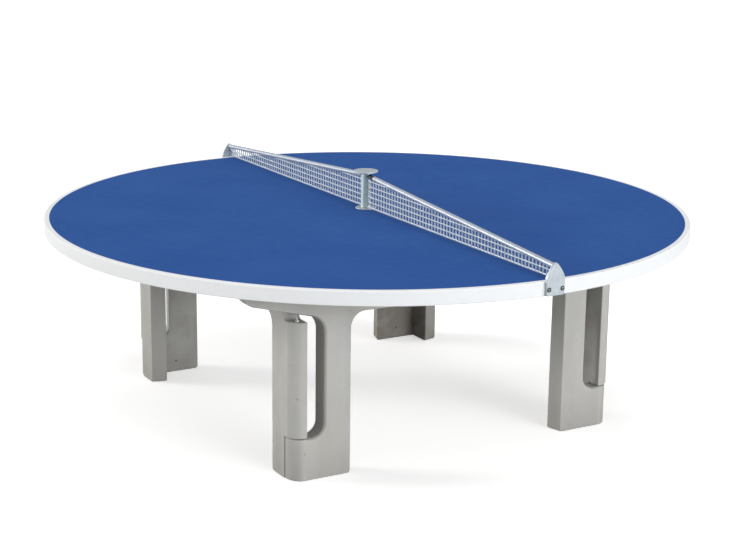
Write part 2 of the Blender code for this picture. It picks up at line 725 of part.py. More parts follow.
def bracket_fixings(steel, brass):
    """Screws and threaded inserts that hold the brackets on the rim."""
    screw = bmesh.new()
    dome_screw(screw, RIM_SCREW_HEAD, RIM_SCREW_HEAD_HEIGHT, RIM_SCREW_RADIUS, RIM_SCREW_LENGTH)
    seat = Matrix.Translation((0, 0, -BRACKET_DEPTH - 2 * GAP))
    add_copies("bracket_screw", screw, steel, [place @ seat for place in rim_screw_places()])
    insert = bmesh.new()
    sleeve(insert, RIM_INSERT_RADIUS, RIM_SCREW_RADIUS + GAP, RIM_INSERT_INSET, RIM_INSERT_LENGTH, 12)
    add_copies("rim_insert", insert, brass, rim_screw_places())


def panel_screws(steel):
    """Screws through the flanges' holes, into the post and into the brackets."""
    post = bmesh.new()
    dome_screw(post, PANEL_SCREW_HEAD, PANEL_SCREW_HEAD_HEIGHT, PANEL_SCREW_RADIUS, POST_SCREW_LENGTH)
    add_copies("panel_post_screw", post, steel, post_screw_places())
    bracket = bmesh.new()
    dome_screw(bracket, PANEL_SCREW_HEAD, PANEL_SCREW_HEAD_HEIGHT, PANEL_SCREW_RADIUS, BRACKET_SCREW_LENGTH)
    add_copies("panel_bracket_screw", bracket, steel, flange_bracket_places())


def build():
    """Model the whole table."""
    for existing in list(bpy.data.objects):
        bpy.data.objects.remove(existing)
    concrete = material("light grey concrete", (0.55, 0.54, 0.50), 0.80)
    blue = material("blue playing surface", (0.036, 0.098, 0.305), 0.50)
    white = material("white rim and line", (0.88, 0.88, 0.86), 0.55)
    galvanised = material("galvanised steel", (0.62, 0.66, 0.67), 0.38, 1.0)
    zinc = material("zinc plated fasteners", (0.60, 0.61, 0.60), 0.35, 1.0)
    brass = material("brass inserts", (0.70, 0.52, 0.25), 0.40, 1.0)
    plastic = material("dark plug plastic", (0.025, 0.025, 0.028), 0.50)
    slab(blue, white)
    a_frames(concrete)
    b_frames(concrete)
    corner_studs(zinc)
    slab_fixings(zinc, brass)
    net_post(galvanised)
    net_panels(galvanised)
    net_rails(galvanised)
    rail_plugs(plastic)
    end_brackets(galvanised)
    bracket_fixings(zinc, brass)
    panel_screws(zinc)


build()
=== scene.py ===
import math

import bmesh
import bpy
import numpy as np
from mathutils import Matrix, Vector


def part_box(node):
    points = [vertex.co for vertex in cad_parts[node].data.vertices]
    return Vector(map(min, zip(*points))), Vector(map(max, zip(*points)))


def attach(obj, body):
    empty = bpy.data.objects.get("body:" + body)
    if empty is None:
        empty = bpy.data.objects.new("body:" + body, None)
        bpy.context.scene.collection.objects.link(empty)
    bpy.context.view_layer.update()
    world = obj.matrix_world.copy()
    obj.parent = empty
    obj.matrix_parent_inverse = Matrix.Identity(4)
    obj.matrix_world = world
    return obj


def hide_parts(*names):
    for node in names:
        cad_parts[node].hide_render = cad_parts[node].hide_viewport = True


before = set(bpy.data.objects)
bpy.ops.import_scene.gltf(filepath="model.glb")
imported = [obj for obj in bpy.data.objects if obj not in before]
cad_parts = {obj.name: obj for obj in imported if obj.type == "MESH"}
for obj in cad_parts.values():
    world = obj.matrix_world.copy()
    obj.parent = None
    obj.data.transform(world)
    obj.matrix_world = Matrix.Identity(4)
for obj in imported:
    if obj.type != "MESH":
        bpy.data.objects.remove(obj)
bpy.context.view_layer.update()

# Camera
# A long lens above the table's height, off the corner between the front and left feet.
# Its place is given by a turn round the table, the distance over the ground and the height.
FRAME_WIDTH = 741
SENSOR_WIDTH = 36.0
FOCAL_PIXELS = 1645.2
MIDDLE_PIXEL = 311.2
CAMERA_TURN = math.radians(-29.868)
CAMERA_DISTANCE = 6.1807
CAMERA_HEIGHT = 2.1032
CAMERA_PITCH = math.radians(14.302)
CAMERA_YAW = math.radians(-1.919)
CAMERA_ROLL = math.radians(-0.217)

camera = bpy.data.objects.new("camera", bpy.data.cameras.new("camera"))
camera.data.sensor_width = SENSOR_WIDTH
camera.data.lens = FOCAL_PIXELS * SENSOR_WIDTH / FRAME_WIDTH
camera.data.shift_x = (FRAME_WIDTH / 2 - MIDDLE_PIXEL) / FRAME_WIDTH
tilt = Matrix.Rotation(math.pi / 2 - CAMERA_PITCH, 4, "X")
aim = Matrix.Rotation(-CAMERA_YAW, 4, "Z") @ tilt @ Matrix.Rotation(-CAMERA_ROLL, 4, "Z")
stand = Matrix.Translation((0, -CAMERA_DISTANCE, CAMERA_HEIGHT))
camera.matrix_world = Matrix.Rotation(CAMERA_TURN, 4, "Z") @ stand @ aim
bpy.context.scene.collection.objects.link(camera)
bpy.context.scene.camera = camera

# Studio
# A wide pale floor in an even white surround, with broad soft lights: two low ones in front on the
# right, one low on the left with a smaller one behind it, and one overhead. The camera sees the floor
# lit from below like a light table, and the table gets only a part of the light that it throws back.
SURROUND = 0.41
FLOOR_HALF = 60.0
FLOOR_SEEN = (0.93, 0.93, 0.93, 1)
FLOOR_THROWN = (0.52, 0.52, 0.52, 1)
FLOOR_GLOW = (0.50, 0.50, 0.50, 1)
NO_GLOW = (0, 0, 0, 1)
FLOOR_ROUGHNESS = 0.9
NEUTRAL = (1.0, 1.0, 1.0)
FAINTLY_WARM = (1.0, 0.965, 0.915)
# Degrees round from -Y towards +X, degrees of height, strength, degrees of breadth and colour.
SOFT_LIGHTS = {
    "front_light": (11, 10, 2.05, 30, NEUTRAL),
    "right_light": (35, 10, 0.60, 30, NEUTRAL),
    "left_light": (-126, 12, 2.05, 22, FAINTLY_WARM),
    "glint_light": (-141, 6, 0.45, 12, NEUTRAL),
    "top_light": (0, 85, 1.00, 40, NEUTRAL),
}
# A Mix node's numbered sockets when it blends two colours.
MIX_SHARE, MIX_FIRST, MIX_SECOND, MIX_RESULT = 0, 6, 7, 2

world = bpy.data.worlds.new("studio")
world.use_nodes = True
background = world.node_tree.nodes["Background"]
background.inputs["Color"].default_value = (*NEUTRAL, 1)
background.inputs["Strength"].default_value = SURROUND
bpy.context.scene.world = world
bpy.context.scene.view_settings.view_transform = "Standard"

for name, (turn, height, strength, breadth, colour) in SOFT_LIGHTS.items():
    light = bpy.data.objects.new(name, bpy.data.lights.new(name, "SUN"))
    light.data.energy = strength
    light.data.color = colour
    light.data.angle = math.radians(breadth)
    turn, height = math.radians(turn), math.radians(height)
    level = math.cos(height)
    towards = Vector((math.sin(turn) * level, -math.cos(turn) * level, math.sin(height)))
    light.rotation_euler = towards.to_track_quat("Z", "Y").to_euler()
    bpy.context.scene.collection.objects.link(light)

floor_mesh = bpy.data.meshes.new("floor")
corners = [(x, y, 0) for x, y in FLOOR_HALF * np.array([(-1, -1), (1, -1), (1, 1), (-1, 1)])]
floor_mesh.from_pydata(corners, [], [(0, 1, 2, 3)])
floor_paint = bpy.data.materials.new("floor")
floor_paint.use_nodes = True
nodes, links = floor_paint.node_tree.nodes, floor_paint.node_tree.links
seen = nodes.new("ShaderNodeLightPath").outputs["Is Camera Ray"]
shader = nodes["Principled BSDF"]
floor_looks = {"Base Color": (FLOOR_THROWN, FLOOR_SEEN), "Emission Color": (NO_GLOW, FLOOR_GLOW)}
for label, (to_table, to_camera) in floor_looks.items():
    blend = nodes.new("ShaderNodeMix")
    blend.data_type = "RGBA"
    links.new(seen, blend.inputs[MIX_SHARE])
    blend.inputs[MIX_FIRST].default_value = to_table
    blend.inputs[MIX_SECOND].default_value = to_camera
    links.new(blend.outputs[MIX_RESULT], shader.inputs[label])
shader.inputs["Emission Strength"].default_value = 1.0
shader.inputs["Roughness"].default_value = FLOOR_ROUGHNESS
floor_mesh.materials.append(floor_paint)
floor = bpy.data.objects.new("floor", floor_mesh)
bpy.context.scene.collection.objects.link(floor)

# Concrete
# Light grey concrete cast in smooth steel moulds: faint clouds, upright water marks, a fine sandy grain
# and a few pinholes, painted dark for the shade inside them; the arrises are rubbed paler. Painted shade
# darkens the faces towards the middle, in blotches, and the corner at the back on the right, and the feet
# are darker towards the ground.
CONCRETE_DARK = (0.315, 0.315, 0.300, 1)
CONCRETE_PALE = (0.500, 0.506, 0.500, 1)
CONCRETE_WARM = (0.420, 0.385, 0.340, 1)
CONCRETE_COOL = (0.375, 0.388, 0.380, 1)
CONCRETE_SHADE_AND_LOW_DARK = (0.205, 0.190, 0.170, 1)
PINHOLE_SHADE = (0.090, 0.085, 0.075, 1)
CONCRETE_ROUGHNESS = (0.70, 0.86)
CONCRETE_RELIEF = 0.0012
# How far a face looks out from the table's middle, as a cosine, where the painted shade of the inner
# faces sets in and where it is full; the amount of painted shade goes from the first to the second over
# the blotches, as the back corner's does.
INWARD_SHADE_TURN = (-0.60, -0.70)
INWARD_SHADE_AMOUNT = (0.42, 0.10)
# Distances and heights where the painted shade of the back corner and the darkening towards the ground
# set in and where they are full.
SHADED_CORNER = (0.68, 0.68, 0.0)
SHADED_CORNER_REACH = (0.75, 0.30)
SHADED_CORNER_AMOUNT = (0.75, 0.50)
LOW_DARK_HEIGHT = (0.19, 0.03)
LOW_DARK_WANDER = 0.08
LOW_DARK_AMOUNT = 0.32


def put(tree, kind, values=(), **settings):
    """A shader node with its settings; each input takes a value or another node's output."""
    made = tree.nodes.new("ShaderNode" + kind)
    for label, value in settings.items():
        setattr(made, label, value)
    for socket, value in values:
        if isinstance(value, bpy.types.NodeSocket):
            tree.links.new(value, made.inputs[socket])
        else:
            made.inputs[socket].default_value = value
    return made


def tint(tree, share, first, second, strength=1.0):
    """Colour that goes from the first towards the second as the share goes from 0 to 1; the strength
    says how far."""
    if strength < 1:
        share = sums(tree, "MULTIPLY", share, strength)
    values = [(MIX_SHARE, share), (MIX_FIRST, first), (MIX_SECOND, second)]
    return put(tree, "Mix", values, data_type="RGBA").outputs[MIX_RESULT]


def ramp(tree, value, low, high, to_low=0.0, to_high=1.0):
    """A value's range from low to high, stretched to another range and held at its ends."""
    values = [("Value", value), ("From Min", low), ("From Max", high),
              ("To Min", to_low), ("To Max", to_high)]
    return put(tree, "MapRange", values).outputs["Result"]


def graded(tree, share, first, second):
    """Number that goes from the first to the second as the share goes from 0 to 1."""
    return ramp(tree, share, 0.0, 1.0, first, second)


def sums(tree, operation, first, second):
    """One sum of two numbers."""
    return put(tree, "Math", [(0, first), (1, second)], operation=operation).outputs[0]


def weighted(tree, *parts):
    """Sum of values times their weights, from pairs of the two."""
    total = sums(tree, "MULTIPLY", *parts[0])
    for value, weight in parts[1:]:
        total = sums(tree, "ADD", total, sums(tree, "MULTIPLY", value, weight))
    return total


def vectors(tree, operation, *given, output="Vector"):
    """One sum of one or two vectors."""
    return put(tree, "VectorMath", enumerate(given), operation=operation).outputs[output]


def stretched(tree, place, scale, shift=(0, 0, 0)):
    """The place times a scale for each axis, moved by a shift."""
    values = [("Vector", place), ("Location", shift), ("Scale", scale)]
    return put(tree, "Mapping", values).outputs["Vector"]


def new_effect(name, inputs, output):
    """An empty node group: a Vector and named numbers with start values go in, one value comes out."""
    group = bpy.data.node_groups.new(name, "ShaderNodeTree")
    group.interface.new_socket("Vector", in_out="INPUT", socket_type="NodeSocketVector")
    for label, start in inputs:
        socket = group.interface.new_socket(label, in_out="INPUT", socket_type="NodeSocketFloat")
        socket.default_value = start
    group.interface.new_socket(output, in_out="OUTPUT", socket_type="NodeSocketFloat")
    return group, group.nodes.new("NodeGroupInput").outputs, group.nodes.new("NodeGroupOutput").inputs


def effect(tree, group, place, **values):
    """An effect placed in a material with its own values; gives its output."""
    made = tree.nodes.new("ShaderNodeGroup")
    made.node_tree = group
    tree.links.new(place, made.inputs["Vector"])
    for label, value in values.items():
        made.inputs[label].default_value = value
    return made.outputs[0]


def new_finish(name, metallic=0.0, specular=0.5):
    """A new material: its tree, its Principled shader and the piece's own coordinates."""
    made = bpy.data.materials.new(name)
    made.use_nodes = True
    tree = made.node_tree
    shader = tree.nodes["Principled BSDF"]
    shader.inputs["Metallic"].default_value = metallic
    shader.inputs["Specular IOR Level"].default_value = specular
    return made, tree, shader, put(tree, "TexCoord").outputs["Object"]


def lay_on(tree, shader, colour, roughness, height, depth):
    """Joins colour, roughness and a relief of the given depth in metres to the shader."""
    tree.links.new(colour, shader.inputs["Base Color"])
    tree.links.new(roughness, shader.inputs["Roughness"])
    bump = put(tree, "Bump", [("Height", height), ("Distance", depth), ("Strength", 1.0)])
    tree.links.new(bump.outputs["Normal"], shader.inputs["Normal"])


clouds, given, result = new_effect("clouds", [("Size", 0.3), ("Contrast", 0.3)], "Mask")
per_metre = sums(clouds, "DIVIDE", 1.0, given["Size"])
noise = put(clouds, "TexNoise", [("Vector", given["Vector"]), ("Scale", per_metre), ("Detail", 5.0)])
low = sums(clouds, "SUBTRACT", 0.5, given["Contrast"])
high = sums(clouds, "ADD", 0.5, given["Contrast"])
clouds.links.new(ramp(clouds, noise.outputs["Fac"], low, high), result["Mask"])

grain, given, result = new_effect("grain", [("Size", 0.002)], "Height")
per_metre = sums(grain, "DIVIDE", 1.0, given["Size"])
fine = put(grain, "TexNoise", [("Vector", given["Vector"]), ("Scale", per_metre), ("Detail", 2.0)])
wider = sums(grain, "MULTIPLY", per_metre, 0.23)
coarse = put(grain, "TexNoise", [("Vector", given["Vector"]), ("Scale", wider), ("Detail", 2.0)])
both = sums(grain, "ADD", fine.outputs["Fac"], coarse.outputs["Fac"])
grain.links.new(sums(grain, "MULTIPLY", both, 0.5), result["Height"])

starts = [("Spacing", 0.02), ("Radius", 0.1), ("Share", 0.3)]
pinholes, given, result = new_effect("pinholes", starts, "Mask")
per_metre = sums(pinholes, "DIVIDE", 1.0, given["Spacing"])
cells = put(pinholes, "TexVoronoi", [("Vector", given["Vector"]), ("Scale", per_metre)])
inside = ramp(pinholes, cells.outputs["Distance"], given["Radius"], 0.0)
chance = put(pinholes, "SeparateColor", [("Color", cells.outputs["Color"])]).outputs[0]
kept = sums(pinholes, "LESS_THAN", chance, given["Share"])
pinholes.links.new(sums(pinholes, "MULTIPLY", inside, kept), result["Mask"])

concrete, tree, shader, place = new_finish("concrete", specular=0.3)
broad = effect(tree, clouds, place, Size=0.55, Contrast=0.22)
drawn_out = stretched(tree, place, (9.0, 9.0, 1.0))
marks = effect(tree, clouds, drawn_out, Size=0.5, Contrast=0.20)
patches = effect(tree, clouds, place, Size=0.05, Contrast=0.30)
sand = effect(tree, grain, place, Size=0.0016)
holes = effect(tree, pinholes, place, Spacing=0.024, Radius=0.085, Share=0.30)
elsewhere = stretched(tree, place, (5.0, 5.0, 1.0), shift=(3.1, 1.7, 0.4))
stains = effect(tree, clouds, elsewhere, Size=0.7, Contrast=0.14)
elsewhere = stretched(tree, place, (2.0, 2.0, 1.4), shift=(0.7, 2.9, 1.3))
cool = effect(tree, clouds, elsewhere, Size=0.45, Contrast=0.12)
blotches = effect(tree, clouds, place, Size=0.11, Contrast=0.10)
tone = weighted(tree, (marks, 0.35), (patches, 0.25), (sand, 0.45), (broad, 0.15))
colour = tint(tree, tone, CONCRETE_DARK, CONCRETE_PALE)
colour = tint(tree, stains, colour, CONCRETE_WARM, 0.45)
colour = tint(tree, cool, colour, CONCRETE_COOL, 0.40)
level = stretched(tree, place, (1, 1, 0))
outwards = vectors(tree, "NORMALIZE", level)
face = put(tree, "NewGeometry").outputs["Normal"]
# Painted shade on the faces that look towards the table's middle.
inward_shade = ramp(tree, vectors(tree, "DOT_PRODUCT", outwards, face, output="Value"), *INWARD_SHADE_TURN)
# Painted shade round the back corner on the right.
from_corner = vectors(tree, "SUBTRACT", level, SHADED_CORNER)
corner_shade = ramp(tree, vectors(tree, "LENGTH", from_corner, output="Value"), *SHADED_CORNER_REACH)
height = put(tree, "SeparateXYZ", [("Vector", place)]).outputs["Z"]
# Darker towards the ground, along a wandering line.
wandering = sums(tree, "ADD", height, sums(tree, "MULTIPLY", stains, LOW_DARK_WANDER))
low_dark = ramp(tree, wandering, *LOW_DARK_HEIGHT)
# The painted shade and the darkening towards the ground, blended into the colour.
dark = weighted(tree, (inward_shade, graded(tree, blotches, *INWARD_SHADE_AMOUNT)),
                (corner_shade, graded(tree, blotches, *SHADED_CORNER_AMOUNT)), (low_dark, LOW_DARK_AMOUNT))
colour = tint(tree, dark, colour, CONCRETE_SHADE_AND_LOW_DARK)
rubbed = put(tree, "Attribute", attribute_name="mark").outputs["Fac"]
colour = tint(tree, rubbed, colour, CONCRETE_PALE, 0.35)
# Pinholes painted dark for the shade inside them.
colour = tint(tree, holes, colour, PINHOLE_SHADE)
relief = sums(tree, "SUBTRACT", sums(tree, "MULTIPLY", sand, 0.25), holes)
lay_on(tree, shader, colour, graded(tree, patches, *CONCRETE_ROUGHNESS), relief, CONCRETE_RELIEF)

# Cast frames
# Four portal frames stand in a square and carry the slab, each one a single casting. The two A frames
# have sloping arms and a low foot at each end; a B frame's legs carry blocks that sit on those feet.
ARRIS = 0.003
FACE_MARGIN = 1.4 * ARRIS
SHARP_CORNER = 0.005
INNER_CORNER = 0.003
PLAN_CORNER = 0.050
LEG_CORNER = 0.025
ROUND_RINGS = 10
ARC_STEPS = 8
CORNERS_OF_HALF = 8
WINDOW_CORNERS = (4, 5)
SAME_POINT = 1e-6
CRISP_ANGLE = math.radians(35)
GAP = 0.0003
a_low, a_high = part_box("a_frame_front")
b_low, b_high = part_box("b_frame_left")
A_OUTER, A_THICKNESS = -a_low.y, a_high.y - a_low.y
B_OUTER, B_THICKNESS = -b_low.x, b_high.x - b_low.x
FRAME_TOP = a_high.z
ARM_REACH = a_high.x
BLOCK_REACH = b_high.y
B_LEG_EDGE = -a_high.y - GAP
# Half widths and heights at the outer face and at the inner one, which the mould's draft sets apart.
A_OPENING = (0.447, 0.430)
A_WINDOW = (0.546, 0.553)
B_OPENING = (0.542, 0.526)
BEAM_UNDERSIDE = (0.578, 0.563)
WINDOW_ROUND = 0.012
OPENING_CORNER = 0.054
LEG_FOOT_CORNER = 0.012
FOOT_REACH = 0.669
FOOT_TOP = 0.150
FOOT_FILLET = 0.047
ARM_UNDERSIDE = 0.602
ARM_SLOPE = 0.273
ARM_FILLET = 0.060
ARM_TIP = 0.045
BLOCK_BOTTOM = 0.153
BLOCK_TOP = 0.565
BLOCK_DISH = 0.015
BOLT_OFFSET = 0.18
COUNTERBORE = 0.016
COUNTERBORE_TOP = 0.605
COUNTERBORE_SIDES = 24
SOCKET_RADIUS = 0.004
SOCKET_DEPTH = 0.020
SOCKET_SIDES = 16
# A socket's distance from the frame's middle and its height.
A_SOCKET = (0.528, 0.045)
B_SOCKET = (0.593, 0.105)
BEYOND = 0.01
SIDES = (-1, 1)
BUBBLE_RINGS = 8
BUBBLE_SIDES = 12
BUBBLE_POLE = 0.05
# Air bubbles that met the mould: their place on the outer faces and radius.
A_BUBBLES = [((-0.625, -0.6935, 0.098), 0.0045), ((-0.600, -0.6935, 0.128), 0.002),
             ((0.640, -0.6935, 0.070), 0.003), ((-0.470, -0.6935, 0.330), 0.002)]
B_BUBBLES = [((-0.650, -0.6855, 0.297), 0.0042), ((-0.6735, 0.600, 0.250), 0.003)]


def unit(rows):
    """Each row divided by its length."""
    return rows / np.linalg.norm(rows, axis=-1, keepdims=True)


def rounded(corners, steps=ARC_STEPS):
    """Closed outline with an arc in place of each corner (x, z, radius): its centre lies on the corner's
    bisector at radius / sin(half angle), and it turns by pi - 2 * half angle."""
    corners = np.asarray(corners, float)
    point, radius = corners[:, :2], corners[:, 2:]
    before = unit(np.roll(point, 1, 0) - point)
    after = unit(np.roll(point, -1, 0) - point)
    half = np.arccos(np.clip((before * after).sum(1, keepdims=True), -1, 1)) / 2
    centre = point + unit(before + after) * radius / np.sin(half)
    start = point + before * radius / np.tan(half) - centre
    hand = np.sign(after[:, :1] * before[:, 1:] - after[:, 1:] * before[:, :1])
    turn = hand * (math.pi - 2 * half) * np.linspace(0, 1, steps + 1)
    x = np.cos(turn) * start[:, :1] - np.sin(turn) * start[:, 1:]
    z = np.sin(turn) * start[:, :1] + np.cos(turn) * start[:, 1:]
    return (centre[:, None] + np.stack((x, z), -1)).reshape(-1, 2)


def drawn_in(outline, distance):
    """Each point moved inwards by distance * (n1 + n2) / (1 + n1 . n2), n1 and n2 being the inward
    normals of the two edges that meet there."""
    following = np.roll(outline, -1, 0)
    area = (outline[:, 0] * following[:, 1] - following[:, 0] * outline[:, 1]).sum()
    along = unit(following - outline)
    normal = np.sign(area) * np.column_stack((-along[:, 1], along[:, 0]))
    previous = np.roll(normal, 1, 0)
    return outline + distance * (normal + previous) / (1 + (normal * previous).sum(1, keepdims=True))


def quarter_round(radius, depth):
    """How far a quarter round of the radius lies inside its corner, at a depth from the face:
    radius - sqrt(radius^2 - (radius - depth)^2)."""
    left = np.clip(radius - np.asarray(depth), 0, radius)
    return radius - np.sqrt(radius ** 2 - left ** 2)


def both_sides(half, apex=()):
    """A closed outline's corners from those of its right half, bottom up, and any on the middle."""
    return half + list(apex) + [(-x, z, radius) for x, z, radius in reversed(half)]


def arm_underside(x):
    """Height of an arm's sloping underside."""
    return ARM_UNDERSIDE + ARM_SLOPE * (x - B_OUTER)


def a_corners(depth):
    """An A frame's outline at a depth from its outer face; the mould's draft narrows the opening."""
    share = depth / A_THICKNESS
    opening, window, beam = [a + share * (b - a) for a, b in (A_OPENING, A_WINDOW, BEAM_UNDERSIDE)]
    reach = FOOT_REACH - quarter_round(PLAN_CORNER, depth)
    return both_sides([
        (opening, beam, OPENING_CORNER),
        (opening, 0, LEG_FOOT_CORNER),
        (reach, 0, SHARP_CORNER),
        (reach, FOOT_TOP, SHARP_CORNER),
        (window, FOOT_TOP, FOOT_FILLET),
        (window, arm_underside(window), ARM_FILLET),
        (ARM_REACH, arm_underside(ARM_REACH), ARM_TIP),
        (ARM_REACH, FRAME_TOP, SHARP_CORNER),
    ])


def b_corners(depth):
    """A B frame's outline at a depth from its outer face."""
    share = depth / B_THICKNESS
    opening, beam = [a + share * (b - a) for a, b in (B_OPENING, BEAM_UNDERSIDE)]
    reach = BLOCK_REACH - quarter_round(PLAN_CORNER, depth)
    edge = B_LEG_EDGE - quarter_round(LEG_CORNER, depth)
    dish = min(BLOCK_DISH, 0.5 * (reach - edge))
    return both_sides([
        (opening, beam, OPENING_CORNER),
        (opening, 0, LEG_FOOT_CORNER),
        (B_LEG_EDGE, 0, SHARP_CORNER),
        (B_LEG_EDGE, BLOCK_BOTTOM, INNER_CORNER),
        (reach, BLOCK_BOTTOM, SHARP_CORNER),
        (reach, BLOCK_TOP, SHARP_CORNER),
        (edge, BLOCK_TOP, dish),
        (edge, FRAME_TOP, SHARP_CORNER),
    ])


def through(outlines, depths):
    """Outlines (x, z) set one behind another: rings of points (x, depth, z)."""
    rows = [np.column_stack((ring[:, 0], np.full(len(ring), depth), ring[:, 1]))
            for ring, depth in zip(outlines, depths)]
    return np.stack(rows)


def casting(corners_at, thickness, window=()):
    """Rings (x, depth, z) through a casting: its outline at each depth, drawn in by a quarter round of
    the arris near both faces, and how near each ring is to the middle of an arris. The corners of a half
    that belong to a window have a larger round at the outer face."""
    turns = np.linspace(0, math.pi / 2, ROUND_RINGS)
    ends = ARRIS * (1 - np.cos(turns[::2]))
    plan = PLAN_CORNER * (1 - np.cos(turns))
    round_in = WINDOW_ROUND * (1 - np.cos(turns)) if window else []
    depths = np.concatenate((ends, plan[plan < thickness - ARRIS], round_in, thickness - ends))
    depths = np.unique(np.round(depths, 6))
    draw = quarter_round(ARRIS, np.minimum(depths, thickness - depths))
    depths = np.concatenate(([0], depths, [thickness]))
    draw = np.concatenate(([FACE_MARGIN], draw, [FACE_MARGIN]))
    larger = np.isin(np.arange(CORNERS_OF_HALF), window)
    larger = np.repeat(np.concatenate((larger, larger[::-1])), ARC_STEPS + 1)[:, None]
    extra = quarter_round(WINDOW_ROUND, depths) - quarter_round(ARRIS, depths)
    outlines = [drawn_in(rounded(corners_at(depth)), by + more * larger)
                for depth, by, more in zip(depths, draw, extra)]
    wear = np.sin(math.pi * np.clip(draw / ARRIS, 0, 1))
    return through(outlines, depths), np.repeat(wear, len(outlines[0]))


def outward(mesh):
    """Drops loose points, merges doubled ones and turns every face outwards."""
    bm = bmesh.new()
    bm.from_mesh(mesh)
    loose = [point for point in bm.verts if not point.link_faces]
    bmesh.ops.delete(bm, geom=loose, context="VERTS")
    bmesh.ops.remove_doubles(bm, verts=bm.verts, dist=SAME_POINT)
    bmesh.ops.recalc_face_normals(bm, faces=bm.faces)
    bm.to_mesh(mesh)
    bm.free()
    return mesh


def skin(name, grid, closed=False, marks=None):
    """Mesh from rings of points: four-sided faces join each ring to the next; the last ring joins the
    first where the skin is closed, and otherwise one face covers each end."""
    rings, sides = grid.shape[:2]
    index = np.arange(rings * sides).reshape(rings, sides)
    first = index if closed else index[:-1]
    second = np.roll(index, -1, 0) if closed else index[1:]
    corners = (first, np.roll(first, -1, 1), np.roll(second, -1, 1), second)
    faces = np.stack(corners, -1).reshape(-1, 4).tolist()
    if not closed:
        faces += [index[0].tolist(), index[-1].tolist()]
    mesh = bpy.data.meshes.new(name)
    mesh.from_pydata(grid.reshape(-1, 3), [], faces)
    if marks is not None:
        mark = mesh.attributes.new("mark", "FLOAT", "POINT")
        mark.data.foreach_set("value", marks.astype(np.float32))
    return outward(mesh)


def moved(grid, placement):
    """Every point of a grid carried by a placement."""
    placement = np.array(placement)
    return grid @ placement[:3, :3].T + placement[:3, 3]


def wound(radius, height, placement=Matrix.Identity(4)):
    """Grid of rings round the placement's Z axis, at (r cos t, r sin t, h); r may change round a ring."""
    turn = np.linspace(0, 2 * math.pi, radius.shape[1], endpoint=False)
    rise = np.broadcast_to(np.asarray(height, float)[:, None], radius.shape)
    return moved(np.stack((radius * np.cos(turn), radius * np.sin(turn), rise), -1), placement)


def turned(profile, sides, placement=Matrix.Identity(4)):
    """Grid of a turned shape, from its profile of radius and height."""
    profile = np.asarray(profile, float)
    return wound(np.repeat(profile[:, :1], sides, 1), profile[:, 1], placement)


def facing(origin, direction):
    """Placement at a point with its Z axis along a direction."""
    turn = Vector(direction).to_track_quat("Z", "Y").to_matrix().to_4x4()
    return Matrix.Translation(origin) @ turn


def hollowed(mesh, tools):
    """The mesh with the tools' closed shapes taken out of it."""
    body = bpy.data.objects.new("body", mesh)
    bpy.context.scene.collection.objects.link(body)
    cutters = []
    for tool in tools:
        cutter = bpy.data.objects.new("cutter", skin("cutter", tool))
        bpy.context.scene.collection.objects.link(cutter)
        body.modifiers.new("cut", "BOOLEAN").object = cutter
        cutters.append(cutter)
    depsgraph = bpy.context.evaluated_depsgraph_get()
    result = bpy.data.meshes.new_from_object(body.evaluated_get(depsgraph))
    for made in cutters + [body]:
        bpy.data.objects.remove(made)
    return result


def fit(name, mesh, paint, node=None):
    """A finished piece with flat faces and crisp edges, which stands for a node of the frame if one is
    named."""
    mesh.materials.clear()
    mesh.materials.append(paint)
    mesh.shade_smooth()
    mesh.set_sharp_from_angle(angle=CRISP_ANGLE)
    piece = bpy.data.objects.new(name, mesh)
    bpy.context.scene.collection.objects.link(piece)
    flat = piece.modifiers.new("flat faces", "WEIGHTED_NORMAL")
    flat.weight = 100
    flat.keep_sharp = True
    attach(piece, "root")
    if node:
        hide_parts(node)
    return piece


def bubble(place, radius):
    """A small ball to hollow out: r = radius * sin t, h = radius * cos t."""
    turn = np.linspace(BUBBLE_POLE, math.pi - BUBBLE_POLE, BUBBLE_RINGS)
    profile = radius * np.column_stack((np.sin(turn), np.cos(turn)))
    return turned(profile, BUBBLE_SIDES, Matrix.Translation(place))


def cast_pair(nodes, grid, wear, bubbles, bores, sockets):
    """The two frames of a kind, the second half a turn round the table's middle from the first, with
    their bubbles, counterbores and sockets hollowed out."""
    tools = [bubble(at, radius) for at, radius in bubbles]
    counterbore = [(COUNTERBORE, BEAM_UNDERSIDE[1] - BEYOND), (COUNTERBORE, COUNTERBORE_TOP)]
    socket = [(SOCKET_RADIUS, -BEYOND), (SOCKET_RADIUS, SOCKET_DEPTH)]
    for bore, inside in zip(bores, sockets):
        tools.append(turned(counterbore, COUNTERBORE_SIDES, bore))
        tools.append(turned(socket, SOCKET_SIDES, inside))
    for node, turn in zip(nodes, (Matrix.Identity(4), half_turn)):
        cast = skin(f"cast_{node}", moved(grid, turn), marks=wear)
        cast = hollowed(cast, [moved(tool, turn) for tool in tools])
        fit(f"cast_{node}", cast, concrete, node)


half_turn = Matrix.Rotation(math.pi, 4, "Z")

middle = A_OUTER - A_THICKNESS / 2
bores = [Matrix.Translation((side * BOLT_OFFSET, -middle, 0)) for side in SIDES]
a_sockets = [facing((side * A_SOCKET[0], a_high.y, A_SOCKET[1]), (0, -1, 0)) for side in SIDES]
grid, wear = casting(a_corners, A_THICKNESS, WINDOW_CORNERS)
grid = grid + (0, -A_OUTER, 0)
cast_pair(("a_frame_front", "a_frame_back"), grid, wear, A_BUBBLES, bores, a_sockets)

middle = B_OUTER - B_THICKNESS / 2
bores = [Matrix.Translation((-middle, side * BOLT_OFFSET, 0)) for side in SIDES]
b_sockets = [facing((b_high.x, side * B_SOCKET[0], B_SOCKET[1]), (-1, 0, 0)) for side in SIDES]
grid, wear = casting(b_corners, B_THICKNESS)
grid = np.stack((grid[..., 1] - B_OUTER, grid[..., 0], grid[..., 2]), -1)
cast_pair(("b_frame_left", "b_frame_right"), grid, wear, B_BUBBLES, bores, b_sockets)

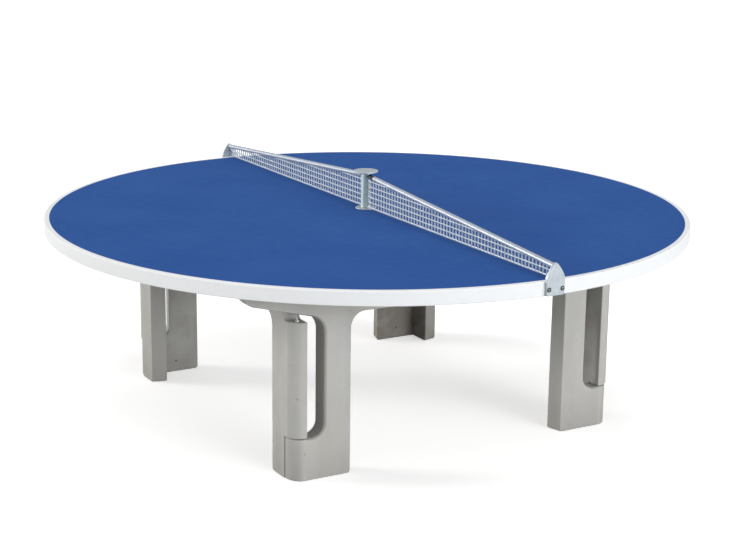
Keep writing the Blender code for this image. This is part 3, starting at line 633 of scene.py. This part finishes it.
# Slab
# One disc of cast polymer concrete. The top is sprayed blue up to a white line, which runs on over the
# rounded edge and down the rim; the underside stays as it was cast.
slab_low, slab_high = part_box("tabletop")
SLAB_RADIUS = slab_high.y
SLAB_EDGE = 0.004
SLAB_SIDES = 288
SLAB_RINGS = (0.3, 0.9, 1.2)
ROD_HOLE = 0.007
LINE_WIDTH = 0.020
LINE_BLUR = 0.0003
LINE_WANDER = 0.0012
# The white ends on the rounded edge's foot, and its overspray fades out further in.
PAINT_FOOT = (0.0022, 0.0012)
PAINT_UNDER = 0.012
OVERSPRAY = 0.004
PAINT_ROUGHNESS = (0.52, 0.64)
PAINT_RELIEF = 0.0004
BLUE_DEEP = (0.0205, 0.081, 0.293, 1)
BLUE_PALE = (0.0295, 0.098, 0.325, 1)
WHITE_PAINT = (0.780, 0.800, 0.820, 1)
WHITE_WORN = (0.690, 0.710, 0.725, 1)
SLAB_GREY = (0.380, 0.380, 0.370, 1)


def edge_profile(radius, low, high, corner, steps=6):
    """Profile of a disc's edge from its lower face to its upper one, with a quarter round at both:
    r = radius - corner * (1 - cos t), h = middle + corner * sin t."""
    quarter = np.linspace(-math.pi / 2, 0, steps + 1)
    turn = np.concatenate((quarter, -quarter[::-1]))
    middle = np.repeat((low + corner, high - corner), steps + 1)
    return np.column_stack((radius - corner * (1 - np.cos(turn)), middle + corner * np.sin(turn)))


slab_paint, tree, shader, place = new_finish("painted slab", specular=0.03)
from_middle = vectors(tree, "LENGTH", stretched(tree, place, (1, 1, 0)), output="Value")
ragged = sums(tree, "SUBTRACT", effect(tree, grain, place, Size=0.006), 0.5)
from_middle = sums(tree, "ADD", from_middle, sums(tree, "MULTIPLY", ragged, LINE_WANDER))
line_start = SLAB_RADIUS - LINE_WIDTH
in_line = ramp(tree, from_middle, line_start - LINE_BLUR, line_start + LINE_BLUR)
height = put(tree, "SeparateXYZ", [("Vector", place)]).outputs["Z"]
below = ramp(tree, height, *[slab_low.z + foot for foot in PAINT_FOOT])
paint_end = SLAB_RADIUS - PAINT_UNDER
bare = sums(tree, "MULTIPLY", below, ramp(tree, from_middle, paint_end, paint_end - OVERSPRAY))
broad = effect(tree, clouds, place, Size=0.40, Contrast=0.25)
patches = effect(tree, clouds, place, Size=0.03, Contrast=0.30)
texture = effect(tree, grain, place, Size=0.0022)
specks = effect(tree, pinholes, place, Spacing=0.035, Radius=0.03, Share=0.15)
blue = tint(tree, broad, BLUE_DEEP, BLUE_PALE)
blue = tint(tree, texture, blue, BLUE_PALE, 0.25)
white = tint(tree, patches, WHITE_PAINT, WHITE_WORN, 0.30)
colour = tint(tree, in_line, blue, white)
colour = tint(tree, specks, colour, WHITE_WORN, 0.5)
colour = tint(tree, bare, colour, tint(tree, patches, SLAB_GREY, CONCRETE_PALE))
relief = sums(tree, "SUBTRACT", texture, sums(tree, "MULTIPLY", specks, 0.6))
lay_on(tree, shader, colour, graded(tree, patches, *PAINT_ROUGHNESS), relief, PAINT_RELIEF)

radii = (ROD_HOLE, *SLAB_RINGS)
lower = [(radius, slab_low.z) for radius in radii]
upper = [(radius, slab_high.z) for radius in reversed(radii)]
profile = np.concatenate((lower, edge_profile(SLAB_RADIUS, slab_low.z, slab_high.z, SLAB_EDGE), upper))
slab = skin("playing_slab", turned(profile, SLAB_SIDES), closed=True)
fit("playing_slab", slab, slab_paint, "tabletop")

# Bolts, inserts and the tie rod
# Flanged bolts in the beams' counterbores screw into brass inserts cast in the slab, and a threaded
# rod holds the net post down. All steel fasteners are zinc plated and barely weathered.
ZINC_DULL = (0.480, 0.490, 0.490, 1)
ZINC_CLEAR = (0.680, 0.690, 0.690, 1)
KEY_SOCKET_SHADE = (0.020, 0.019, 0.017, 1)
BRASS_DULL = (0.420, 0.290, 0.120, 1)
BRASS_CLEAR = (0.720, 0.530, 0.240, 1)
PLATING_ROUGHNESS = (0.46, 0.28)
PLATING_RELIEF = 0.00006


def new_plating(name, dull, clear, spot):
    """Metal with cloudy tarnish in spots of the given size and fine scratches' grain; painted shade where
    the piece is marked."""
    made, tree, shader, place = new_finish(name, metallic=1.0)
    tarnish = effect(tree, clouds, place, Size=spot, Contrast=0.25)
    rubbed = effect(tree, grain, place, Size=0.0004)
    shaded_mark = put(tree, "Attribute", attribute_name="mark").outputs["Fac"]
    colour = tint(tree, shaded_mark, tint(tree, tarnish, dull, clear), KEY_SOCKET_SHADE)
    lay_on(tree, shader, colour, graded(tree, tarnish, *PLATING_ROUGHNESS), rubbed, PLATING_RELIEF)
    return made


zinc = new_plating("zinc plating", ZINC_DULL, ZINC_CLEAR, 0.006)
brass = new_plating("brass", BRASS_DULL, BRASS_CLEAR, 0.005)
for name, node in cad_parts.items():
    if "insert" in name:
        node.material_slots[0].material = brass
    elif name.startswith(("slab_bolt", "tie_rod", "panel_")):
        node.material_slots[0].material = zinc

# Corner studs
# A threaded rod ties each B frame's block to the A frame's arm above it. It is set in both castings,
# and shows in the gap between them with a flanged nut at its foot.
THREAD_PITCH = 0.00125
THREAD_DEPTH = 0.0006
RINGS_A_TURN = 6
RUN_OUT = 0.001
HIDDEN_THREAD = 0.004
NUT_WIDTH = 0.0125
NUT_SEAT = 0.0014
NUT_LIP = 0.0003
NUT_EDGE = 0.0004
CONE_WIDTH = 0.0006
CONE_TOP = 0.0010
NUT_CHAMFER = 0.0009
CHAMFER_SHARE = 0.505
stud_low, stud_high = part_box("corner_stud_1")
stud_radius = (stud_high.x - stud_low.x) / 2


def hexagonal(across_flats, sides):
    """Radius of a hexagon in each direction: across_flats / 2 / cos(angle from the nearest flat)."""
    turn = np.linspace(0, 2 * math.pi, sides, endpoint=False)
    return across_flats / 2 / np.cos(turn % (math.pi / 3) - math.pi / 6)


def threaded(low, high, shown_low, shown_high, radius, sides=24):
    """Rings of a rod whose thread is cut where it shows:
    r = radius - depth * |2 frac(h / pitch - t / 2 pi) - 1|."""
    cut_part = np.arange(shown_low, shown_high, THREAD_PITCH / RINGS_A_TURN)
    height = np.concatenate(([low, shown_low - RUN_OUT], cut_part, [shown_high + RUN_OUT, high]))
    turn = np.linspace(0, 1, sides, endpoint=False)
    groove = np.abs(2 * ((height[:, None] / THREAD_PITCH - turn) % 1) - 1)
    groove[(height < shown_low) | (height > shown_high)] = 0
    return radius - THREAD_DEPTH * groove, height


def nut_rings(width, flange, bore, low, high, sides=36):
    """Radii and heights round a flanged nut's section: bore, flange, cone, hexagon and chamfer."""
    flats = hexagonal(width, sides)
    full = np.ones(sides)
    seat = low + NUT_SEAT
    rings = [
        (bore * full, low),
        ((flange - NUT_EDGE) * full, low),
        (flange * full, low + NUT_EDGE),
        (flange * full, seat - NUT_LIP),
        (np.minimum(flats + CONE_WIDTH, flange), seat + CONE_WIDTH),
        (flats, seat + CONE_TOP),
        (flats, high - NUT_CHAMFER),
        (np.minimum(flats, width * CHAMFER_SHARE), high),
        (bore * full, high),
    ]
    radii, heights = zip(*rings)
    return np.array(radii), np.array(heights)


for number in (1, 2, 3, 4):
    low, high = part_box(f"corner_stud_{number}")
    middle = Matrix.Translation(((low.x + high.x) / 2, (low.y + high.y) / 2, 0))
    shown_low = BLOCK_TOP - HIDDEN_THREAD
    shown_high = arm_underside(abs(middle.translation.x)) + HIDDEN_THREAD
    radius, height = threaded(low.z, high.z, shown_low, shown_high, stud_radius)
    stud = skin(f"stud_{number}", wound(radius, height, middle))
    fit(f"stud_{number}", stud, zinc, f"corner_stud_{number}")
    low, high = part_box(f"corner_nut_{number}")
    radius, height = nut_rings(NUT_WIDTH, (high.x - low.x) / 2, stud_radius + GAP, low.z, high.z)
    nut = skin(f"stud_nut_{number}", wound(radius, height, middle), closed=True)
    fit(f"stud_nut_{number}", nut, zinc, f"corner_nut_{number}")

# Galvanised steel
# Everything of the net is hot-dip galvanised: a matt grey skin of zinc crystals, with patches and small
# runs. The sheet metal is given a blue-grey tone, the post a greener one and the rails a duller one.
SHEET_DULL = (0.380, 0.430, 0.460, 1)
SHEET_PALE = (0.550, 0.610, 0.670, 1)
POST_DULL = (0.520, 0.640, 0.600, 1)
POST_PALE = (0.680, 0.800, 0.760, 1)
RAIL_DULL = (0.370, 0.410, 0.470, 1)
RAIL_PALE = (0.510, 0.560, 0.630, 1)
DULLER_BY = 0.14
GALVANISED_RELIEF = 0.0002

crystals, given, result = new_effect("crystals", [("Size", 0.01)], "Mask")
per_metre = sums(crystals, "DIVIDE", 1.0, given["Size"])
cells = put(crystals, "TexVoronoi", [("Vector", given["Vector"]), ("Scale", per_metre)])
shade = put(crystals, "SeparateColor", [("Color", cells.outputs["Color"])]).outputs[1]
crystals.links.new(shade, result["Mask"])


def new_galvanising(name, dull, pale, smooth):
    """Galvanised metal between two tones; smooth is the roughness of its brightest crystals."""
    made, tree, shader, place = new_finish(name, metallic=0.35)
    flakes = effect(tree, crystals, place, Size=0.008)
    patches = effect(tree, clouds, place, Size=0.03, Contrast=0.25)
    runs = effect(tree, clouds, stretched(tree, place, (6.0, 6.0, 1.0)), Size=0.05, Contrast=0.22)
    texture = effect(tree, grain, place, Size=0.001)
    tone = weighted(tree, (flakes, 0.25), (patches, 0.35), (runs, 0.40))
    relief = weighted(tree, (patches, 0.5), (texture, 0.3))
    roughness = graded(tree, tone, smooth + DULLER_BY, smooth)
    lay_on(tree, shader, tint(tree, tone, dull, pale), roughness, relief, GALVANISED_RELIEF)
    return made


galvanised_sheet = new_galvanising("galvanised sheet", SHEET_DULL, SHEET_PALE, 0.36)
galvanised_post = new_galvanising("galvanised post", POST_DULL, POST_PALE, 0.42)
galvanised_rail = new_galvanising("galvanised rail", RAIL_DULL, RAIL_PALE, 0.34)

# Net post
# A round tube stands on a base disc in the middle of the slab, under a wide thin cap. The discs'
# edges are ground round before galvanising.
DISC_EDGE = 0.0016
CAP_MIDDLE = 0.001
TUBE_WALL = 0.003
TUBE_EDGE = 0.0004
POST_SIDES = 96
tube_low, tube_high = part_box("post_tube")


def disc_profile(node, middle):
    """Profile of one of the post's discs, from the radius of its middle out over its edge and back."""
    low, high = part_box(node)
    edge = edge_profile(high.x, low.z, high.z, DISC_EDGE)
    return np.concatenate(([(middle, low.z)], edge, [(middle, high.z)]))


base = skin("net_post_base", turned(disc_profile("post_base", ROD_HOLE), POST_SIDES), closed=True)
fit("net_post_base", base, galvanised_sheet, "post_base")

outer = edge_profile(tube_high.x, tube_low.z, tube_high.z, TUBE_EDGE, steps=3)
inner = [(tube_high.x - TUBE_WALL, tube_high.z), (tube_high.x - TUBE_WALL, tube_low.z)]
tube = skin("net_post_tube", turned(np.concatenate((outer, inner)), POST_SIDES), closed=True)
fit("net_post_tube", tube, galvanised_post, "post_tube")

cap = skin("net_post_cap", turned(disc_profile("post_cap", CAP_MIDDLE), POST_SIDES))
fit("net_post_cap", cap, galvanised_sheet, "post_cap")

# Net panels
# Each half of the net is a 3 mm sheet with square holes, folded to a flange at the post and at the
# bracket. Its sloping top edge runs inside the rail.
SHEET = 0.003
HOLE_PITCH = 0.020
HOLE_SIZE = 0.015
HOLE_CORNER = 0.0015
FIRST_HOLE = 0.0225
HOLE_COLUMNS = 60
HOLE_ROWS = 6
FIRST_ROW = 0.006
FOLD = 0.002
FOLD_STEPS = 5
FLANGE_HOLE = (0.0035, 0.0105)
FLANGE_TOP = 0.794
EDGE_STRIP = 0.002
SLIVER = 0.0005
PLAIN_SHARES = (0.3, 0.7)
RAIL_SLOPE = 0.0685
RAIL_TOP = 0.900
RAIL_RADIUS = 0.009
panel_low, panel_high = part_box("net_panel_near")
flange = panel_high.x
fold_start = -panel_high.y - SHEET / 2 + FOLD
fold_end = -panel_low.y - SHEET / 2 - FOLD
quarter = FOLD * math.pi / 2


def rail_axis(distance):
    """Height of the rail's middle line at a distance from the post."""
    return RAIL_TOP - RAIL_RADIUS - RAIL_SLOPE * distance


def folded(s, z):
    """Flat sheet (s, z) bent round the folds: along the net s is the distance from the post; past each
    fold, a quarter circle of radius FOLD, the sheet turns towards +X."""
    past = np.maximum(fold_start - s, s - fold_end)
    turn = np.clip(past / FOLD, 0, math.pi / 2)
    x = np.where(past > 0, FOLD * (1 - np.cos(turn)) + np.maximum(past - quarter, 0), 0)
    bend = FOLD * np.sin(turn) * (past > 0)
    y = np.clip(s, fold_start, fold_end) + np.where(s < fold_start, -1, 1) * bend
    return np.stack((x, -y, z), -1)


def sheet_top(s):
    """Highest point of the sheet at s: the rail's middle line, or the lower flange at the bracket."""
    in_rail = rail_axis(np.clip(s, fold_start, fold_end))
    return np.where(s > fold_end + quarter + SLIVER, FLANGE_TOP, in_rail)


def border_marks(low, hole_low, hole_high, high):
    """A cell's two sides and, between them, where its hole's straight part starts and ends."""
    return np.stack((low, hole_low + HOLE_CORNER, hole_high - HOLE_CORNER, high), -1)


def hole_marks(low, high):
    """A hole's two sides with the middles and the ends of its round corners."""
    middle = HOLE_CORNER * (1 - math.sqrt(0.5))
    marks = (low, low + middle, low + HOLE_CORNER, high - HOLE_CORNER, high - middle, high)
    return np.stack(marks, -1)


def cell_points(across, upwards, across_order, upwards_order):
    """Points round every cell, s and z, from the marks of its column and row in the order given."""
    s = across[:, across_order][:, None] + np.zeros((HOLE_ROWS, 1))
    z = upwards[:, upwards_order][None] + np.zeros((len(across), 1, 1))
    return s, z


# Columns of the flat sheet, each with its hole's two sides; a fold has narrow columns with no hole.
flange_start = fold_start - (quarter - FOLD)
flange_end = fold_end + (quarter - FOLD)
near_fold = np.linspace(fold_start - quarter, fold_start, FOLD_STEPS + 1)
far_fold = np.linspace(fold_end, fold_end + quarter, FOLD_STEPS + 1)
holes_low = FIRST_HOLE + HOLE_PITCH * np.arange(HOLE_COLUMNS)
holes_high = np.minimum(holes_low + HOLE_SIZE, fold_end - SLIVER)
between = (holes_low[1:] + holes_low[:-1] + HOLE_SIZE) / 2
edges = [flange_start - flange, *near_fold, *between, *far_fold, flange_end + flange]
edges = np.array(edges)
left, right = edges[:-1], edges[1:]
hole_left, hole_right = [left + (right - left) * share for share in PLAIN_SHARES]
main = slice(1 + FOLD_STEPS, 1 + FOLD_STEPS + HOLE_COLUMNS)
hole_left[main], hole_right[main] = holes_low, holes_high
hole_left[0], hole_right[0] = flange_start - FLANGE_HOLE[1], flange_start - FLANGE_HOLE[0]
hole_left[-1], hole_right[-1] = flange_end + FLANGE_HOLE[0], flange_end + FLANGE_HOLE[1]
opens = np.zeros(len(left), bool)
opens[main] = True
opens[[0, -1]] = True

hole_low = panel_low.z + FIRST_ROW + HOLE_PITCH * np.arange(HOLE_ROWS)
hole_high = hole_low + HOLE_SIZE
halfway = (hole_high[:-1] + hole_low[1:]) / 2
bottom = np.concatenate(([panel_low.z], halfway))
top = np.concatenate((halfway, [hole_high[-1] + HOLE_PITCH]))

# Each cell is drawn by twelve points round its border and twelve round its hole, in step.
border_s, border_z = cell_points(
    border_marks(left, hole_left, hole_right, right), border_marks(bottom, hole_low, hole_high, top),
    [0, 1, 2, 3, 3, 3, 3, 2, 1, 0, 0, 0], [0, 0, 0, 0, 1, 2, 3, 3, 3, 3, 2, 1])
ring_s, ring_z = cell_points(
    hole_marks(hole_left, hole_right), hole_marks(hole_low, hole_high),
    [1, 2, 3, 4, 5, 5, 4, 3, 2, 1, 0, 0], [1, 0, 0, 1, 2, 3, 4, 5, 5, 4, 3, 2])
ring_top = sheet_top(ring_s) - EDGE_STRIP
present = border_z[..., 0] < sheet_top(border_s).min(-1) - SLIVER
pierced = present & opens[:, None] & (ring_z[..., 1] < ring_top.min(-1) - 2 * HOLE_CORNER)
border = folded(border_s, np.minimum(border_z, sheet_top(border_s)))
ring = folded(ring_s, np.minimum(ring_z, ring_top))
count = border_s.size
numbers = np.arange(count).reshape(border_s.shape)
follow = np.roll(numbers, -1, -1)
quads = np.stack((numbers, follow, follow + count, numbers + count), -1)[pierced].reshape(-1, 4)
plain = numbers[present & ~pierced]

for name, side in (("near", 1), ("far", -1)):
    points = np.concatenate((border.reshape(-1, 3), ring.reshape(-1, 3))) * (1, side, 1)
    mesh = bpy.data.meshes.new(f"net_sheet_{name}")
    mesh.from_pydata(points, [], quads.tolist() + plain.tolist())
    outward(mesh)
    sheet = fit(f"net_sheet_{name}", mesh, galvanised_sheet, f"net_panel_{name}")
    wall = sheet.modifiers.new("sheet thickness", "SOLIDIFY")
    wall.thickness = SHEET
    wall.offset = 0
    sheet.modifiers.move(1, 0)

# Net rails
# A slit tube is pushed over the top edge of each panel. The near one stops short of the post and ends
# in a long dark plug with a rounded nose; the far one runs on to the post.
RAIL_WALL = 0.0016
RAIL_SLIT = 0.0038
RAIL_EDGE = 0.0004
RAIL_SIDES = 40
PLUG_NOSE = 0.005
NOSE_SHARE = 0.8
NOSE_STEPS = 7
PLUG_EDGE = 0.0004
PLUG_SHOULDER = 0.0008
PLUG_STEM = 0.012
PLUG_SLOT_TOP = 0.0012
PLUG_DARK = (0.010, 0.016, 0.020, 1)
PLUG_GREY = (0.028, 0.040, 0.046, 1)
PLUG_ROUGHNESS = (0.42, 0.58)
PLUG_RELIEF = 0.0001
# Which way a rail runs along Y, how far from the post it starts, and how long its plug's head is.
RAIL_STARTS = {"near": (-1, 0.066, 0.040), "far": (1, 0.025, 0.004)}
RAIL_END = 1.2175


def slit_arc(radius):
    """Points round a circle from one lip of the slit at its foot to the other."""
    lip = math.asin(RAIL_SLIT / 2 / radius)
    turn = np.linspace(-math.pi / 2 + lip, 1.5 * math.pi - lip, RAIL_SIDES + 1)
    return radius * np.column_stack((np.cos(turn), np.sin(turn)))


def carried(outlines, along, placement):
    """Outlines (x, y) set one after another along the placement's Z axis."""
    rows = [np.column_stack((ring, np.full(len(ring), z))) for ring, z in zip(outlines, along)]
    return moved(np.stack(rows), placement)


# The same dark plastic also stands for painted shade in the frames' sockets and round the bracket screws'
# heads.
dark_plastic_and_shade, tree, shader, place = new_finish("dark plug plastic", specular=0.25)
patches = effect(tree, clouds, place, Size=0.006, Contrast=0.3)
texture = effect(tree, grain, place, Size=0.0005)
colour = tint(tree, patches, PLUG_DARK, PLUG_GREY)
lay_on(tree, shader, colour, graded(tree, patches, *PLUG_ROUGHNESS), texture, PLUG_RELIEF)

for name, (side, start, head) in RAIL_STARTS.items():
    along = Vector((0, side, -RAIL_SLOPE)).normalized()
    across = Vector((-side, 0, 0))
    turn = Matrix((across, along.cross(across), along)).transposed().to_4x4()
    placement = Matrix.Translation((0, side * start, rail_axis(start))) @ turn
    length = (RAIL_END - start) * math.sqrt(1 + RAIL_SLOPE ** 2)
    section = np.concatenate((slit_arc(RAIL_RADIUS), slit_arc(RAIL_RADIUS - RAIL_WALL)[::-1]))
    slim = drawn_in(section, RAIL_EDGE)
    heights = (0, RAIL_EDGE, length - RAIL_EDGE, length)
    rail = skin(f"rail_tube_{name}", carried((slim, section, section, slim), heights, placement))
    fit(f"rail_tube_{name}", rail, galvanised_rail, f"net_rail_{name}")

    slot = [(-RAIL_SLIT / 2, PLUG_SLOT_TOP), (RAIL_SLIT / 2, PLUG_SLOT_TOP)]
    nose = min(PLUG_NOSE, head * NOSE_SHARE)
    bend = np.linspace(0, math.pi / 2, NOSE_STEPS)
    stem = RAIL_RADIUS - RAIL_WALL - GAP
    radii = [*(RAIL_RADIUS - nose * (1 - np.sin(bend))), RAIL_RADIUS, RAIL_RADIUS - PLUG_EDGE, stem, stem]
    heights = [*(nose * (1 - np.cos(bend)) - head), -PLUG_SHOULDER, -GAP, -GAP, PLUG_STEM]
    outlines = [np.concatenate((slit_arc(radius), slot)) for radius in radii]
    plug = skin(f"rail_nose_{name}", carried(outlines, heights, placement))
    fit(f"rail_nose_{name}", plug, dark_plastic_and_shade, f"rail_plug_{name}")

# Socket plugs
# Dark plugs, set back a little, fill the small round sockets in the frames' inner faces; their dark
# stands for painted shade inside the sockets.
SET_BACK = 0.0010
PLUG_LENGTH = 0.008

sockets = a_sockets + b_sockets
places = [turn @ place for turn in (Matrix.Identity(4), half_turn) for place in sockets]
for number, place in enumerate(places, start=1):
    radius = SOCKET_RADIUS - GAP
    profile = [(radius - PLUG_EDGE, SET_BACK), (radius, SET_BACK + PLUG_EDGE),
               (radius, SET_BACK + PLUG_LENGTH)]
    plug = skin(f"socket_shade_plug_{number}", turned(profile, SOCKET_SIDES, place))
    fit(f"socket_shade_plug_{number}", plug, dark_plastic_and_shade)

# End brackets
# A thick pointed plate, cut like a window arch, is screwed to the rim at each end and takes the rail
# and the panel's flange.
BRACKET_SHOULDER = (0.772, 0.020)
BRACKET_BULGE = (0.0233, 0.7985, 0.150)
BRACKET_POINT = 0.824
BRACKET_APEX = 0.008
BRACKET_FOOT = 0.006
BRACKET_EDGE = 0.0020
BRACKET_BACK_EDGE = 0.0004
BRACKET_ARC_STEPS = 12
BRACKET_EDGE_RINGS = 7
BRACKET_HOLE = 0.0045
BRACKET_HOLE_DEPTH = 0.04
BRACKET_HOLE_SIDES = 20
bracket_low, bracket_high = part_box("end_bracket_near")
half_width = bracket_high.x
thickness = bracket_high.y - bracket_low.y

half = [
    (half_width, bracket_low.z, BRACKET_FOOT),
    (half_width, *BRACKET_SHOULDER),
    BRACKET_BULGE,
]
arch = rounded(both_sides(half, [(0, BRACKET_POINT, BRACKET_APEX)]), BRACKET_ARC_STEPS)
turns = np.linspace(0, math.pi / 2, BRACKET_EDGE_RINGS)
front = BRACKET_EDGE * (1 - np.cos(turns))
depths = np.concatenate((front, [thickness - BRACKET_BACK_EDGE, thickness]))
draw = np.concatenate((quarter_round(BRACKET_EDGE, front), [0, BRACKET_BACK_EDGE]))
rings = through([drawn_in(arch, by) for by in draw], bracket_low.y + depths)
hole = [(BRACKET_HOLE, 0), (BRACKET_HOLE, BRACKET_HOLE_DEPTH)]
for name, side in (("near", 1), ("far", -1)):
    tools = []
    for number in (1, 2, 3, 4):
        low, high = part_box(f"bracket_screw_{number}")
        if low.y * side < 0:
            at = ((low.x + high.x) / 2, side * (bracket_high.y + BEYOND), (low.z + high.z) / 2)
            tools.append(turned(hole, BRACKET_HOLE_SIDES, facing(at, (0, -side, 0))))
    plate = hollowed(skin(f"arch_plate_{name}", rings * (1, side, 1)), tools)
    fit(f"arch_plate_{name}", plate, galvanised_sheet, f"end_bracket_{name}")

# Bracket screws
# Two button-headed screws hold each bracket on inserts in the rim. Each sits on a flat dark ring that
# stands for painted shade round its head, and its hexagon socket is painted dark for shade.
HEAD_HEIGHT = 0.005
HEAD_SIDES = 48
HEAD_RIM_SHARE = 0.2
DOME_RINGS = 9
SHANK_RADIUS = 0.004
HEX_KEY = 0.005
KEY_DEPTH = 0.003
KEY_MOUTH = math.radians(32)
KEY_TAPER = 0.8
KEY_CHAMFER = 0.0004
KEY_LIP = 0.0002
KEY_RINGS = 2
SHADE_RING_HEIGHT = 0.0010
SHADE_RING_MARGIN = 0.0034
SHADE_RING_BACK_EDGE = 0.0003
SHADE_RING_FRONT_EDGE = 0.0005


def button_screw(head_radius, length):
    """Radii and heights from the key socket's floor over the domed head to the shank's end; the dome is
    r = head_radius * sin t, h = -rim - (HEAD_HEIGHT - rim) * cos t, from the socket's mouth outwards."""
    full = np.ones(HEAD_SIDES)
    flats = hexagonal(HEX_KEY, HEAD_SIDES)
    rim = HEAD_HEIGHT * HEAD_RIM_SHARE
    turn = np.linspace(KEY_MOUTH, math.pi / 2, DOME_RINGS)
    dome = head_radius * np.sin(turn)[:, None] * full
    rise = -rim - (HEAD_HEIGHT - rim) * np.cos(turn)
    key_floor = rise[0] + KEY_DEPTH
    shank = SHANK_RADIUS * full
    radii = [KEY_TAPER * flats, flats, flats, *dome, head_radius * full, shank, shank]
    heights = [key_floor, key_floor - KEY_CHAMFER, rise[0] + KEY_LIP, *rise, 0, 0, length]
    return np.array(radii), heights


def shade_ring_section(inner, outer):
    """Section of the flat dark ring behind a screw's head, which stands for painted shade, from its back
    to its front.
    """
    front = -SHADE_RING_HEIGHT
    return [(inner, 0), (outer - SHADE_RING_BACK_EDGE, 0), (outer, -SHADE_RING_BACK_EDGE),
            (outer, front + SHADE_RING_FRONT_EDGE), (outer - SHADE_RING_FRONT_EDGE, front), (inner, front)]


for number in (1, 2, 3, 4):
    low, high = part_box(f"bracket_screw_{number}")
    inwards = 1 if low.y < 0 else -1
    seat = low.y + HEAD_HEIGHT if inwards > 0 else high.y - HEAD_HEIGHT
    at = facing(((low.x + high.x) / 2, seat, (low.z + high.z) / 2), (0, inwards, 0))
    reach = (high.x - low.x) / 2
    head_radius = reach - SHADE_RING_MARGIN
    radius, height = button_screw(head_radius, high.y - low.y - HEAD_HEIGHT)
    # The key socket's first rings are marked for painted shade.
    key_shade = np.repeat(np.arange(len(height)) < KEY_RINGS, HEAD_SIDES)
    screw = skin(f"button_screw_{number}", wound(radius, height, at), marks=key_shade)
    fit(f"button_screw_{number}", screw, zinc, f"bracket_screw_{number}")
    # A dark ring round the head, standing for painted shade.
    section = shade_ring_section(head_radius + GAP, reach)
    shade_ring_mesh = skin(f"shade_ring_{number}", turned(section, HEAD_SIDES, at), closed=True)
    fit(f"shade_ring_{number}", shade_ring_mesh, dark_plastic_and_shade)
